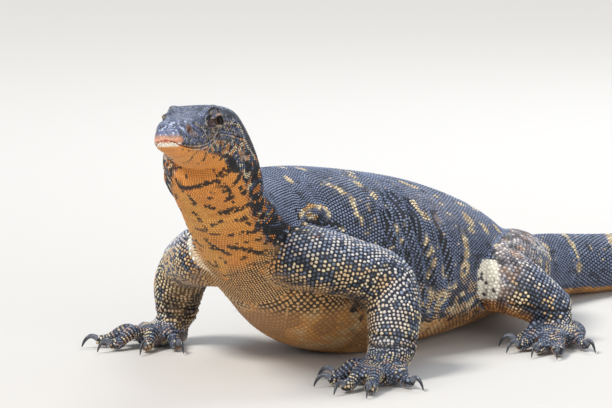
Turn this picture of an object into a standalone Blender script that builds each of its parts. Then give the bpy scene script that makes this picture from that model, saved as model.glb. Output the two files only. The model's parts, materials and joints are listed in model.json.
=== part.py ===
"""A life-size water monitor lizard, standing with its head raised and its belly on the floor.

Run it with: blender --background --python part.py
Lengths are metres. +X runs from the hips to the shoulders, +Y is the animal's left, +Z is up.
The modelling frame has the shoulder joints over x = 0; the finished object is moved so that the
origin is the middle of its footprint. Every part is a loft: a ring shape carried along a path.
"""
import math

import bmesh
import bpy
import numpy as np
from mathutils import Vector

# Driving dimensions
HEAD = 0.130            # snout tip to the back of the jaw
TRUNK = 0.345           # shoulder joint to hip joint
TAIL = 1.16             # hip joint to tail tip
BELLY_HALF_WIDTH = 0.094
TAIL_HALF_WIDTH = 0.036
EYE_RADIUS = 0.0078
LID_THICKNESS = 0.0018
LID_OPENING = (0.0064, 0.0034, 0.0036)   # half length, rise of the upper lid, drop of the lower one
CLAW_LENGTH = 0.019
CLAW_THICK = 0.86       # half height of a claw's root, as a share of the toe's tip
GAP = 0.0003            # kept between neighbouring solids
MERGE = 0.00002         # points closer than this after a Boolean become one
CLAW_LIFT = 0.0006      # claw tips stay this far off the floor

# How the head is held
SNOUT = np.array([0.1912, 0.0712, 0.2142])
HEAD_YAW = math.radians(21.5)
HEAD_PITCH = math.radians(6.0)
HEAD_ROLL = math.radians(3.0)

# Facets round each kind of loft
AROUND_BODY = 32
AROUND_TAIL = 16
AROUND_LEG = 12
AROUND_TOE = 7
AROUND_CLAW = 5

# Head sections, in head lengths: back from the snout, half width, height over the mouth line,
# depth under it, and how square the upper and the lower half are (2 is an ellipse)
HEAD_SECTIONS = (
    (0.000, 0.020, 0.022, 0.016, 2.0, 2.0),
    (0.012, 0.056, 0.058, 0.040, 2.1, 2.0),
    (0.045, 0.086, 0.094, 0.062, 2.2, 2.1),
    (0.100, 0.104, 0.122, 0.078, 2.3, 2.2),
    (0.180, 0.118, 0.142, 0.092, 2.5, 2.2),
    (0.300, 0.138, 0.162, 0.112, 2.8, 2.3),
    (0.400, 0.154, 0.190, 0.128, 3.0, 2.3),
    (0.500, 0.172, 0.214, 0.144, 3.2, 2.3),
    (0.600, 0.204, 0.222, 0.160, 3.1, 2.2),
    (0.680, 0.238, 0.219, 0.176, 2.9, 2.2),
)

# Neck and trunk sections: x, y, z of the spine line, half width, height over it, depth under it,
# and how square the upper and the lower half are
BODY_SECTIONS = (
    (0.0935, 0.0335, 0.193, 0.0348, 0.0272, 0.0290, 2.5, 2.2),
    (0.0790, 0.0265, 0.173, 0.0360, 0.0290, 0.0340, 2.3, 2.2),
    (0.0580, 0.0175, 0.147, 0.0340, 0.0320, 0.0330, 2.1, 2.1),
    (0.0270, 0.0070, 0.127, 0.0390, 0.0420, 0.0400, 2.1, 2.1),
    (-0.008, 0.000, 0.114, 0.0540, 0.0550, 0.0570, 2.1, 2.1),
    (-0.050, 0.000, 0.103, 0.0700, 0.0630, 0.0790, 2.1, 2.2),
    (-0.110, 0.000, 0.088, 0.0860, 0.0690, 0.0900, 2.1, 2.3),
    (-0.180, 0.000, 0.076, BELLY_HALF_WIDTH, 0.0670, 0.0800, 2.1, 2.3),
    (-0.250, 0.000, 0.062, 0.0840, 0.0580, 0.0640, 2.1, 2.3),
    (-0.310, 0.000, 0.049, 0.0600, 0.0440, 0.0500, 2.1, 2.2),
    (-TRUNK - 0.010, 0.000, 0.039, 0.0440, 0.0350, 0.0395, 2.0, 2.1),
)
NECK_ENDS_AT = -0.004   # x of the cut between the neck and the torso
TORSO_ENDS_AT = -0.385  # x of the cut between the torso and the tail


def smooth(knots, values, at):
    """Cubic Hermite curve through the values at the knots, with weighted finite-difference slopes."""
    knots = np.asarray(knots, float)
    values = np.asarray(values, float)
    at = np.clip(np.atleast_1d(np.asarray(at, float)), knots[0], knots[-1])
    step = np.diff(knots)
    rise = np.diff(values, axis=0) / step.reshape(-1, *[1] * (values.ndim - 1))
    slope = np.empty_like(values)
    before = step[:-1].reshape(-1, *[1] * (values.ndim - 1))
    after = step[1:].reshape(-1, *[1] * (values.ndim - 1))
    slope[1:-1] = (after * rise[:-1] + before * rise[1:]) / (before + after)
    slope[0] = rise[0]
    slope[-1] = rise[-1]
    i = np.clip(np.searchsorted(knots, at, side="right") - 1, 0, len(step) - 1)
    wide = [-1] + [1] * (values.ndim - 1)
    h = step[i].reshape(wide)
    t = ((at - knots[i]) / step[i]).reshape(wide)
    return (
        values[i] * (2 * t**3 - 3 * t**2 + 1)
        + slope[i] * h * (t**3 - 2 * t**2 + t)
        + values[i + 1] * (3 * t**2 - 2 * t**3)
        + slope[i + 1] * h * (t**3 - t**2)
    )


def unit(v):
    return v / np.maximum(np.linalg.norm(v, axis=-1, keepdims=True), 1e-12)


def head_turn():
    """Rotation from head axes (forward, left, up) to the modelling frame."""
    cy, sy = math.cos(HEAD_YAW), math.sin(HEAD_YAW)
    cp, sp = math.cos(HEAD_PITCH), math.sin(HEAD_PITCH)
    cr, sr = math.cos(HEAD_ROLL), math.sin(HEAD_ROLL)
    yaw = np.array([[cy, -sy, 0], [sy, cy, 0], [0, 0, 1]])
    pitch = np.array([[cp, 0, -sp], [0, 1, 0], [sp, 0, cp]])
    roll = np.array([[1, 0, 0], [0, cr, -sr], [0, sr, cr]])
    return yaw @ pitch @ roll


TURN = head_turn()


def on_head(back, left, rise):
    """A point given in head lengths behind the snout, left of the middle and over the mouth line."""
    return SNOUT + TURN @ (HEAD * np.array([-back, left, rise]))


def tail_path(count):
    """Points along the tail: its heading swings to the animal's left, then back towards the tip."""
    along = np.linspace(0, 1, count)
    turns = ((0.0, 180), (0.10, 168), (0.22, 126), (0.42, 112), (0.62, 126), (0.80, 158), (1.0, 186))
    heading = np.radians(smooth([t[0] for t in turns], [t[1] for t in turns], along))
    start = np.array(BODY_SECTIONS[-1][:3])
    step = TAIL / (count - 1)
    run = np.cumsum(np.stack([np.cos(heading), np.sin(heading)], 1) * step, axis=0)
    path = np.empty((count, 3))
    path[0, :2] = start[:2]
    path[1:, :2] = start[:2] + run[:-1]
    half_height = tail_half_height(along)
    sag = np.exp(-((along / 0.08) ** 2))
    path[:, 2] = np.maximum(half_height * 0.97, 0) * (1 - sag) + start[2] * sag
    return along, path


def tail_half_width(along):
    waist = 1 - 0.16 * np.exp(-(((along - 0.35) / 0.3) ** 2))
    return TAIL_HALF_WIDTH * (0.04 + 0.96 * (1 - along) ** 1.25) * waist


def tail_half_height(along):
    return 0.031 * (0.04 + 0.96 * (1 - along) ** 0.92)


class Spine:
    """The line from snout to tail tip, with the section at each place along it."""

    def __init__(self):
        rows = []
        for back, half, rise, drop, top, under in HEAD_SECTIONS:
            rows.append((*on_head(back, 0, 0), half * HEAD, rise * HEAD, drop * HEAD, top, under))
        rows += BODY_SECTIONS
        tail_knots = 26
        along, path = tail_path(tail_knots)
        for t, p in list(zip(along, path))[2:]:
            rise = float(tail_half_height(t))
            rows.append((*p, float(tail_half_width(t)), rise * 1.05, rise, 1.75, 2.1))
        rows = np.array(rows)
        self.at = np.concatenate([[0], np.cumsum(np.linalg.norm(np.diff(rows[:, :3], axis=0), axis=1))])
        self.rows = rows
        self.head_end = HEAD * HEAD_SECTIONS[-1][0]
        self.length = float(self.at[-1])

    def frames(self, at):
        """Places, tangents (towards the tail), left and up directions, and section sizes."""
        row = smooth(self.at, self.rows, at)
        near = np.minimum(0.016, np.asarray(at) + 1e-4)
        ahead = smooth(self.at, self.rows[:, :3], np.asarray(at) + near)
        behind = smooth(self.at, self.rows[:, :3], np.asarray(at) - near)
        tangent = unit(ahead - behind)
        upward = np.tile(TURN @ np.array([0, 0, 1.0]), (len(row), 1))
        share = np.clip((np.asarray(at) - self.head_end) / 0.08, 0, 1)[:, None]
        upward = unit(upward * (1 - share) + np.array([0, 0, 1.0]) * share)
        up = unit(upward - tangent * np.sum(upward * tangent, axis=1, keepdims=True))
        left = np.cross(tangent, up) * -1
        return row[:, :3], tangent, -left, up, row[:, 3:]

    def place_of_x(self, x):
        """Distance along the spine where it passes this x, behind the head."""
        at = np.linspace(self.head_end, self.length * 0.55, 3000)
        return float(at[np.argmin(np.abs(smooth(self.at, self.rows[:, 0], at) - x))])


SPINE = Spine()

# Swellings and hollows: back from the snout in head lengths, degrees above the mouth line,
# how far they spread along and round, and their height in head lengths
HEAD_FORMS = (
    ("brow ridge", 0.500, 54, 0.085, 13, 0.030),
    ("brow ridge front", 0.395, 50, 0.060, 11, 0.014),
    ("hollow before the eye", 0.345, 24, 0.070, 14, -0.014),
    ("swelling at the nostril", 0.135, 46, 0.050, 16, 0.010),
    ("hollow between the brows", 0.480, 90, 0.110, 20, -0.012),
    ("hollow under the eye", 0.520, 20, 0.070, 10, -0.010),
    ("bulge of the eye", 0.500, 33, 0.050, 10, 0.010),
    ("temple", 0.700, 48, 0.090, 16, 0.010),
    ("jowl", 0.840, -14, 0.110, 26, 0.022),
    ("slack throat", 0.560, -90, 0.220, 46, 0.018),
)
MOUTH_LENGTH = 0.70 * HEAD
# The mouth line: head lengths back from the snout, degrees over the line of the sections
MOUTH_LINE = (
    (0.0, -8), (0.015, -18), (0.077, -27), (0.20, -27), (0.294, -20), (0.394, -6), (0.457, 1), (0.70, 1),
)
LIP_GROOVE = 0.0014
LIP_SWELL = 0.0006
# Folds of the neck and throat: metres from the snout, degrees round, spread along and round, height
NECK_FOLDS = (
    ("throat fold", 0.098, -90, 0.0050, 55, -0.0045),
    ("throat bulge", 0.118, -90, 0.0120, 50, 0.0040),
    ("neck pleat", 0.140, -5, 0.0240, 9, 0.0050),
    ("neck hollow", 0.150, 18, 0.0240, 10, -0.0040),
    ("shoulder pleat", 0.182, 10, 0.0180, 10, 0.0050),
    ("shoulder hollow", 0.186, -12, 0.0160, 10, -0.0040),
)


def lips_at(back):
    return smooth([row[0] for row in MOUTH_LINE], [row[1] for row in MOUTH_LINE], back)


def rings(at, degrees):
    """Surface points of the body: one ring for each place along the spine, one point for each angle.

    The angles may differ from ring to ring. Angle 0 is the animal's left, 90 the top, 180 the right
    and 270 the underside. A point is the superellipse of its section, moved outwards by the forms above.
    """
    at = np.asarray(at, float)
    angle = np.radians(np.atleast_2d(np.asarray(degrees, float)))
    places, tangent, left, up, size = SPINE.frames(at)
    c, s = np.cos(angle), np.sin(angle)
    half, rise, drop, top, under = (size[:, i:i + 1] for i in range(5))
    high = s >= 0
    power = np.where(high, top, under)
    across = half * np.sign(c) * np.abs(c) ** (2 / power)
    above = np.where(high, rise, drop) * np.sign(s) * np.abs(s) ** (2 / power)
    turn = (np.degrees(np.arctan2(s, np.abs(c))) + np.zeros_like(across))
    push = np.zeros_like(across)
    back = at[:, None] / HEAD
    for _, where, level, long, round_, height in HEAD_FORMS:
        push += height * HEAD * np.exp(-(((back - where) / long) ** 2) - ((turn - level) / round_) ** 2)
    for _, where, level, long, round_, height in NECK_FOLDS:
        push += height * np.exp(-(((at[:, None] - where) / long) ** 2) - ((turn - level) / round_) ** 2)
    lips = lips_at(back[:, 0])[:, None]
    past = np.clip((at[:, None] - MOUTH_LENGTH) / (0.012 * HEAD), -30, 30)
    open_mouth = 1 / (1 + np.exp(past))
    blunt = np.minimum(1, at[:, None] / (0.05 * HEAD) + 0.35)
    swell = LIP_SWELL * np.exp(-(((turn - lips) / 9) ** 2))
    groove = (LIP_GROOVE + LIP_SWELL) * np.exp(-(((turn - lips) / 2.2) ** 2))
    push += open_mouth * blunt * (swell - groove)
    radius = np.hypot(across, above) + 1e-9
    across = across * (1 + push / radius)
    above = above * (1 + push / radius)
    points = places[:, None] + left[:, None] * across[..., None] + up[:, None] * above[..., None]
    return rest_on_floor(points, up[:, None])


def rest_on_floor(points, up):
    """Moves points that are under the floor up to it, within the plane of their ring."""
    low = np.minimum(points[..., 2:3], 0)
    lean = np.where(np.abs(up[..., 2:3]) < 0.2, 1.0, up[..., 2:3])
    lift = np.where(np.abs(up[..., 2:3]) < 0.2, np.array([0, 0, 1.0]), up)
    return points - lift * low / lean


def loft(name, grid, material, tip_start=False, tip_end=False):
    """An object whose surface joins each ring of the grid to the next, closed at both ends.

    A tip end is drawn to the middle of its ring; the others are flat faces.
    """
    count, around = grid.shape[:2]
    verts = [tuple(p) for p in grid.reshape(-1, 3)]
    faces = []
    for i in range(count - 1):
        for j in range(around):
            k = (j + 1) % around
            faces.append((i * around + j, i * around + k, (i + 1) * around + k, (i + 1) * around + j))
    for ring, is_tip, flip in ((0, tip_start, True), (count - 1, tip_end, False)):
        order = list(range(ring * around, (ring + 1) * around))
        if is_tip:
            verts.append(tuple(grid[ring].mean(axis=0)))
            middle = len(verts) - 1
            fan = [(order[j], order[(j + 1) % around], middle) for j in range(around)]
            faces += [f[::-1] for f in fan] if flip else fan
        else:
            faces.append(tuple(order[::-1]) if flip else tuple(order))
    mesh = bpy.data.meshes.new(name)
    mesh.from_pydata(verts, [], faces)
    work = bmesh.new()
    work.from_mesh(mesh)
    bmesh.ops.triangulate(work, faces=work.faces[:], quad_method="SHORT_EDGE")
    if work.calc_volume(signed=True) < 0:
        bmesh.ops.reverse_faces(work, faces=work.faces[:])
    work.to_mesh(mesh)
    work.free()
    mesh.shade_smooth()
    mesh.set_sharp_from_angle(angle=math.radians(50))
    made = bpy.data.objects.new(name, mesh)
    if material:
        mesh.materials.append(material)
    return made


def tube(path, across, thick, around, roll_up, square=2.0):
    """Rings along a path, of these half widths across and half thicknesses along roll_up.

    The rings are superellipses, and each lies square to the path."""
    path = np.asarray(path, float)
    tangent = np.gradient(path, axis=0)
    tangent = unit(tangent)
    up = unit(roll_up - tangent * np.sum(roll_up * tangent, axis=1, keepdims=True))
    side = np.cross(up, tangent)
    angle = np.linspace(0, 2 * math.pi, around, endpoint=False)
    c, s = np.cos(angle), np.sin(angle)
    a = np.sign(c) * np.abs(c) ** (2 / square)
    b = np.sign(s) * np.abs(s) ** (2 / square)
    points = (
        path[:, None]
        + side[:, None] * (np.asarray(across)[:, None] * a)[..., None]
        + up[:, None] * (np.asarray(thick)[:, None] * b)[..., None]
    )
    return rest_on_floor(points, up[:, None])


def material(name, colour, roughness):
    made = bpy.data.materials.new(name)
    made.use_nodes = True
    shader = made.node_tree.nodes["Principled BSDF"]
    shader.inputs["Base Color"].default_value = (*colour, 1)
    shader.inputs["Roughness"].default_value = roughness
    shader.inputs["Metallic"].default_value = 0
    made.diffuse_color = (*colour, 1)
    return made


def clear_scene():
    for obj in list(bpy.data.objects):
        bpy.data.objects.remove(obj, do_unlink=True)


def collection(name, hidden=False):
    made = bpy.data.collections.new(name)
    bpy.context.scene.collection.children.link(made)
    made.hide_render = hidden
    return made


def boolean(target, operation, tools):
    """Applies one Boolean with all the tools, removes them, and keeps the largest closed surface.

    The exact solver is used, or the manifold one where the exact one leaves the surface open.
    """
    group = bpy.data.collections.new("tools")
    bpy.context.scene.collection.children.link(group)
    for tool in tools:
        group.objects.link(tool)
    cut = target.modifiers.new("join", "BOOLEAN")
    cut.operation = operation
    cut.operand_type = "COLLECTION"
    cut.collection = group
    for solver in ("EXACT", "MANIFOLD"):
        cut.solver = solver
        bpy.context.view_layer.update()
        graph = bpy.context.evaluated_depsgraph_get()
        mesh = bpy.data.meshes.new_from_object(target.evaluated_get(graph))
        if keep_largest(mesh):
            break
    target.modifiers.clear()
    target.data = mesh
    for tool in tools:
        bpy.data.objects.remove(tool, do_unlink=True)
    bpy.data.collections.remove(group)
    mesh.shade_smooth()
    mesh.set_sharp_from_angle(angle=math.radians(50))


def keep_largest(mesh):
    """Deletes every surface but the one with the largest volume, and tells whether that is closed."""
    work = bmesh.new()
    work.from_mesh(mesh)
    bmesh.ops.remove_doubles(work, verts=work.verts[:], dist=MERGE)
    bmesh.ops.triangulate(work, faces=work.faces[:])
    left = set(work.faces)
    shells = []
    while left:
        seed = left.pop()
        shell, edge = {seed}, [seed]
        while edge:
            face = edge.pop()
            for link in face.edges:
                for other in link.link_faces if len(link.link_faces) == 2 else ():
                    if other in left:
                        left.discard(other)
                        shell.add(other)
                        edge.append(other)
        shells.append(shell)
    if len(shells) > 1:
        def volume(shell):
            total = 0.0
            for face in shell:
                a, b, c = (v.co for v in face.verts)
                total += a.dot(b.cross(c)) / 6
            return total
        largest = max(shells, key=volume)
        loose = [f for shell in shells if shell is not largest for f in shell]
        bmesh.ops.delete(work, geom=loose, context="FACES")
    closed = len(work.faces) > 0 and all(len(edge.link_faces) == 2 for edge in work.edges)
    work.to_mesh(mesh)
    work.free()
    return closed


def ball(name, centre, radii, turn=None, steps=14):
    """A sphere primitive with three half sizes, turned by a 3x3 matrix and set at centre."""
    bpy.ops.mesh.primitive_uv_sphere_add(segments=steps, ring_count=steps // 2 + 1, radius=1)
    made = bpy.context.object
    made.name = name
    turn = np.eye(3) if turn is None else turn
    for vert in made.data.vertices:
        vert.co = Vector(turn @ (np.array(vert.co) * np.array(radii)) + np.array(centre))
    if np.linalg.det(turn) < 0:
        made.data.flip_normals()
    for holder in list(made.users_collection):
        holder.objects.unlink(made)
    return made


def head_angles():
    """Angles of the head's rings: close together at the lips, wider over the crown and throat."""
    half = [0, 5, 11, 19, 28, 37, 46, 55, 65, 77]
    upper = half + [90] + [180 - a for a in reversed(half)]
    lower_half = [5, 11, 20, 31, 44, 58, 74]
    lower = [180 + a for a in lower_half] + [270] + [360 - a for a in reversed(lower_half)]
    return upper + lower


def head_angles_at(back):
    """The head's angles on each ring, moved with the mouth line, so that one row of edges follows it."""
    base = np.array(head_angles(), float)
    side = np.cos(np.radians(base))
    follow = np.clip((0.84 - np.asarray(back)) / 0.14, 0, 1)
    lean = (np.sign(side) * np.abs(side) ** 3)[None]
    return base[None] + (lips_at(np.minimum(back, 0.70)) * follow)[:, None] * lean


def even_angles(count):
    return [360 * i / count for i in range(count)]


def head_rings():
    """Places of the head's rings, in head lengths: close at the snout, the eye and the mouth corner."""
    return [0.0, 0.006, 0.018, 0.036, 0.06, 0.09, 0.12, 0.15, 0.185, 0.22, 0.26, 0.30, 0.34, 0.38,
            0.415, 0.445, 0.475, 0.505, 0.535, 0.565, 0.60, 0.64, 0.67, 0.695, 0.72, 0.75, 0.79, 0.83, 0.88]


EYE_PLACE = (0.495, 0.128, 0.104)   # head lengths: back, left, up
NOSTRIL_PLACE = (0.140, 0.098, 0.068)
EAR_BACK = 0.775          # head lengths along the spine line
EAR_ANGLE = -18          # degrees from the mouth line


def ear_place(side):
    angle = EAR_ANGLE if side > 0 else 180 - EAR_ANGLE
    return rings([EAR_BACK * HEAD], [angle])[0, 0]


def mirrored(place, side):
    return (place[0], place[1] * side, place[2])


def eye_axes(side):
    """Columns forward, outward and up of the eye, which looks a little forward and up."""
    forward, rise = math.radians(14), math.radians(12)
    out = np.array([math.sin(forward) * math.cos(rise), math.cos(forward) * math.cos(rise), math.sin(rise)])
    gaze = np.array([1.0, 0, 0.10])
    ahead = unit(gaze - out * (out @ gaze))
    return TURN @ np.diag([1.0, side, 1.0]) @ np.stack([ahead, out, np.cross(ahead, out)], axis=1)


def almond(side):
    """A prism along the eye's outward axis with the outline of the open lids."""
    axes = eye_axes(side)
    centre = on_head(*mirrored(EYE_PLACE, side))
    steps = 10
    t = np.linspace(-1, 1, steps + 1)
    bow = (1 - t**2) ** 0.75
    top = np.stack([t * LID_OPENING[0], bow * LID_OPENING[1]], 1)
    low = np.stack([t[-2:0:-1] * LID_OPENING[0], -bow[-2:0:-1] * LID_OPENING[2]], 1)
    outline = np.concatenate([top, low])
    sheets = []
    for out in (0.0, 0.5 * EYE_RADIUS, 2.2 * EYE_RADIUS):
        spread = 1 + 0.35 * max(0.0, out / EYE_RADIUS - 1)
        flat = outline[:, :1] * axes[:, 0] + outline[:, 1:] * axes[:, 2]
        sheets.append(centre + axes[:, 1] * out + flat * spread)
    return loft("almond", np.array(sheets), None)


def make_head(skin, group):
    """The head: lids swell over each eyeball, then their openings, the nostrils and ears are cut."""
    back = np.array(head_rings())
    grid = rings(back * HEAD, head_angles_at(back))
    head = loft("head", grid, skin, tip_start=True)
    group.objects.link(head)
    lids = []
    for side in (1, -1):
        radii = [EYE_RADIUS + LID_THICKNESS, EYE_RADIUS + LID_THICKNESS, EYE_RADIUS + LID_THICKNESS]
        lids.append(ball("lids", on_head(*mirrored(EYE_PLACE, side)), radii, eye_axes(side), 18))
    boolean(head, "UNION", lids)
    tools = []
    for side in (1, -1):
        turn = TURN @ np.diag([1.0, side, 1.0])
        tools.append(ball("socket", on_head(*mirrored(EYE_PLACE, side)), [EYE_RADIUS + GAP] * 3, turn, 16))
        tools.append(almond(side))
        place = on_head(*mirrored(NOSTRIL_PLACE, side))
        tools.append(ball("nostril", place, (0.0034, 0.0030, 0.0021), turn, 10))
        tools.append(ball("ear", ear_place(side), (0.0030, 0.0036, 0.0044), turn, 12))
    boolean(head, "DIFFERENCE", tools)
    return head


def make_eyes(eye_material, group):
    for side, word in ((1, "left"), (-1, "right")):
        eye = ball("eye_" + word, on_head(*mirrored(EYE_PLACE, side)), [EYE_RADIUS] * 3, TURN, 16)
        eye.data.materials.append(eye_material)
        eye.data.shade_smooth()
        group.objects.link(eye)


def make_trunk(skin, group):
    """Neck, torso and four lengths of tail, each cut from the next by a flat gap."""
    neck_start = HEAD * head_rings()[-1] + GAP
    neck_end = SPINE.place_of_x(NECK_ENDS_AT)
    torso_end = SPINE.place_of_x(TORSO_ENDS_AT)
    lengths = SPINE.length - torso_end
    tail_cuts = [torso_end + lengths * share for share in (0, 0.24, 0.50, 0.76, 1)]
    neck_at = np.linspace(neck_start, neck_end, 14)
    torso_at = np.linspace(neck_end + GAP, torso_end, 25)
    neck = loft("neck", rings(neck_at, even_angles(AROUND_BODY)), skin)
    torso = loft("torso", rings(torso_at, even_angles(AROUND_BODY)), skin)
    group.objects.link(neck)
    group.objects.link(torso)
    for number in range(4):
        at = np.linspace(tail_cuts[number] + GAP, tail_cuts[number + 1], 12)
        last = number == 3
        tail = loft(f"tail_{number + 1}", rings(at, even_angles(AROUND_TAIL)), skin, tip_end=last)
        group.objects.link(tail)
    whole = rings(np.concatenate([neck_at, torso_at[1:]]), even_angles(AROUND_BODY))
    return loft("trunk", whole, None)


# Legs: joints in the modelling frame for the left side; x is forward, y is away from the middle.
# Each toe is a heading in degrees from the foot's own line (towards the outer side), a reach
# from the middle of the foot to the toe tip, and how high its knuckle arches.
LEGS = {
    "foreleg_left": {
        "side": 1,
        "joints": ((0.000, 0.022, 0.100), (-0.006, 0.058, 0.097), (-0.032, 0.084, 0.088),
                   (-0.054, 0.102, 0.074), (-0.049, 0.112, 0.054), (-0.040, 0.118, 0.036),
                   (-0.033, 0.122, 0.023)),
        "across": (0.027, 0.0285, 0.0265, 0.0245, 0.0235, 0.0215, 0.0205),
        "thick": (0.026, 0.0270, 0.0245, 0.0235, 0.0225, 0.0200, 0.0175),
        "foot": (-0.014, 0.126), "heading": 6, "palm": (0.024, 0.0215, 0.0095),
        "toes": ((-76, 0.042, 0.014), (-38, 0.046, 0.014), (-3, 0.056, 0.014),
                 (21, 0.058, 0.014), (74, 0.036, 0.012)),
    },
    "foreleg_right": {
        "side": -1,
        "joints": ((0.000, 0.022, 0.098), (-0.004, 0.050, 0.091), (-0.024, 0.080, 0.083),
                   (-0.045, 0.107, 0.070), (-0.050, 0.120, 0.052), (-0.052, 0.124, 0.036),
                   (-0.052, 0.125, 0.023)),
        "across": (0.027, 0.0285, 0.0265, 0.0245, 0.0235, 0.0215, 0.0205),
        "thick": (0.026, 0.0270, 0.0245, 0.0235, 0.0225, 0.0200, 0.0175),
        "foot": (-0.038, 0.130), "heading": 16, "palm": (0.024, 0.0215, 0.0095),
        "toes": ((-76, 0.042, 0.014), (-38, 0.046, 0.014), (-3, 0.056, 0.014),
                 (21, 0.058, 0.014), (74, 0.036, 0.012)),
    },
    "hindleg_left": {
        "side": 1,
        "joints": ((-0.345, 0.010, 0.042), (-0.324, 0.040, 0.048), (-0.274, 0.068, 0.054),
                   (-0.234, 0.089, 0.055), (-0.236, 0.108, 0.049), (-0.249, 0.125, 0.036),
                   (-0.261, 0.136, 0.0245)),
        "across": (0.034, 0.036, 0.034, 0.0285, 0.0265, 0.0225, 0.0195),
        "thick": (0.031, 0.036, 0.036, 0.0305, 0.0265, 0.0205, 0.0170),
        "foot": (-0.251, 0.144), "heading": 9, "palm": (0.030, 0.0200, 0.0095),
        "toes": ((-46, 0.044, 0.0135), (-18, 0.056, 0.0135), (5, 0.062, 0.0135),
                 (22, 0.066, 0.0135), (58, 0.040, 0.012)),
    },
    "hindleg_right": {
        "side": -1,
        "joints": ((-0.345, 0.010, 0.042), (-0.334, 0.043, 0.048), (-0.300, 0.078, 0.056),
                   (-0.270, 0.100, 0.059), (-0.270, 0.118, 0.050), (-0.284, 0.134, 0.036),
                   (-0.298, 0.142, 0.0245)),
        "across": (0.034, 0.036, 0.033, 0.0275, 0.0265, 0.0225, 0.0195),
        "thick": (0.030, 0.033, 0.030, 0.0260, 0.0245, 0.0205, 0.0170),
        "foot": (-0.280, 0.146), "heading": 14, "palm": (0.030, 0.0200, 0.0095),
        "toes": ((-46, 0.044, 0.0135), (-18, 0.056, 0.0135), (5, 0.062, 0.0135),
                 (22, 0.066, 0.0135), (58, 0.040, 0.012)),
    },
}
JOINT_AT = (0.0, 0.16, 0.36, 0.58, 0.74, 0.89, 1.0)   # share of the leg at each joint
ELBOW_SHARE = 0.60
TOE_TIP_RADIUS = 0.0046


def leg_point(leg, point):
    return np.array([point[0], point[1] * leg["side"], point[2]])


def leg_rings(leg, shares, around):
    """Rings of the leg at these shares of its way from the body to the wrist or ankle."""
    joints = np.array([leg_point(leg, p) for p in leg["joints"]])
    path = smooth(JOINT_AT, joints, shares)
    small = 0.14
    ahead = smooth(JOINT_AT, joints, np.asarray(shares) + small)
    behind = smooth(JOINT_AT, joints, np.asarray(shares) - small)
    tangent = unit(ahead - behind)
    across = smooth(JOINT_AT, leg["across"], shares)
    thick = smooth(JOINT_AT, leg["thick"], shares)
    outward = np.array([0.25, leg["side"] * 0.6, 0.75])
    up = unit(outward - tangent * np.sum(outward * tangent, axis=1, keepdims=True))
    side = np.cross(up, tangent)
    angle = np.linspace(0, 2 * math.pi, around, endpoint=False)
    points = (
        path[:, None]
        + side[:, None] * (across[:, None] * np.cos(angle))[..., None]
        + up[:, None] * (thick[:, None] * np.sin(angle))[..., None]
    )
    return points


def toe_path(leg, toe):
    """Points of a toe from inside the foot over its knuckle and pad to its tip, and its direction."""
    heading, reach, arch = toe
    middle = leg_point(leg, (*leg["foot"], 0.0))
    turn = math.radians((leg["heading"] + heading) * leg["side"])
    way = np.array([math.cos(turn), math.sin(turn), 0.0])
    flat = np.array([0.10, 0.34, 0.58, 0.84, 1.0]) * reach
    high = np.array([0.0085, 0.0115, arch, 0.0060, 0.0080])
    path = middle + flat[:, None] * way + high[:, None] * np.array([0, 0, 1.0])
    return path, way


def make_toe(leg, toe):
    path, way = toe_path(leg, toe)
    share = np.array([0, 0.22, 0.40, 0.55, 0.70, 0.84, 1.0])
    points = smooth(np.linspace(0, 1, len(path)), path, share)
    sizes = [0.0060, 0.0062, 0.0068, 0.0058, 0.0064, TOE_TIP_RADIUS]
    radius = smooth([0, 0.25, 0.5, 0.66, 0.82, 1.0], sizes, share)
    up = np.tile(np.array([0, 0, 1.0]), (len(share), 1))
    return loft("toe", tube(points, radius, radius * 0.96, AROUND_TOE, up), None)


def make_claw(name, leg, toe, horn, group):
    """A claw that starts a gap beyond the toe tip and hooks down to just over the floor."""
    path, way = toe_path(leg, toe)
    tangent = unit(path[-1] - smooth(np.linspace(0, 1, len(path)), path, [0.93])[0])
    root = path[-1] + tangent * GAP
    count = 6
    share = np.linspace(0, 1, count)
    drop = root[2] - CLAW_LIFT - 0.0004
    ahead = CLAW_LENGTH * 0.78 * np.sin(share * math.pi / 2 * 0.92)
    rise = 0.0060 * np.sin(share * math.pi) * (1 - share)
    line = root + ahead[:, None] * way + (rise - drop * share**1.9)[:, None] * np.array([0, 0, 1.0])
    line[1] = root + tangent * np.linalg.norm(line[1] - root)
    thick = TOE_TIP_RADIUS * CLAW_THICK * (1 - share) ** 0.8 + 0.00035
    up = np.tile(np.array([0, 0, 1.0]), (count, 1))
    grid = tube(line, thick * 0.72, thick, AROUND_CLAW, up)
    flat = grid[0] - root
    grid[0] = root + flat - tangent * (flat @ tangent)[:, None]
    claw = loft(name, grid, horn)
    group.objects.link(claw)


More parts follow.
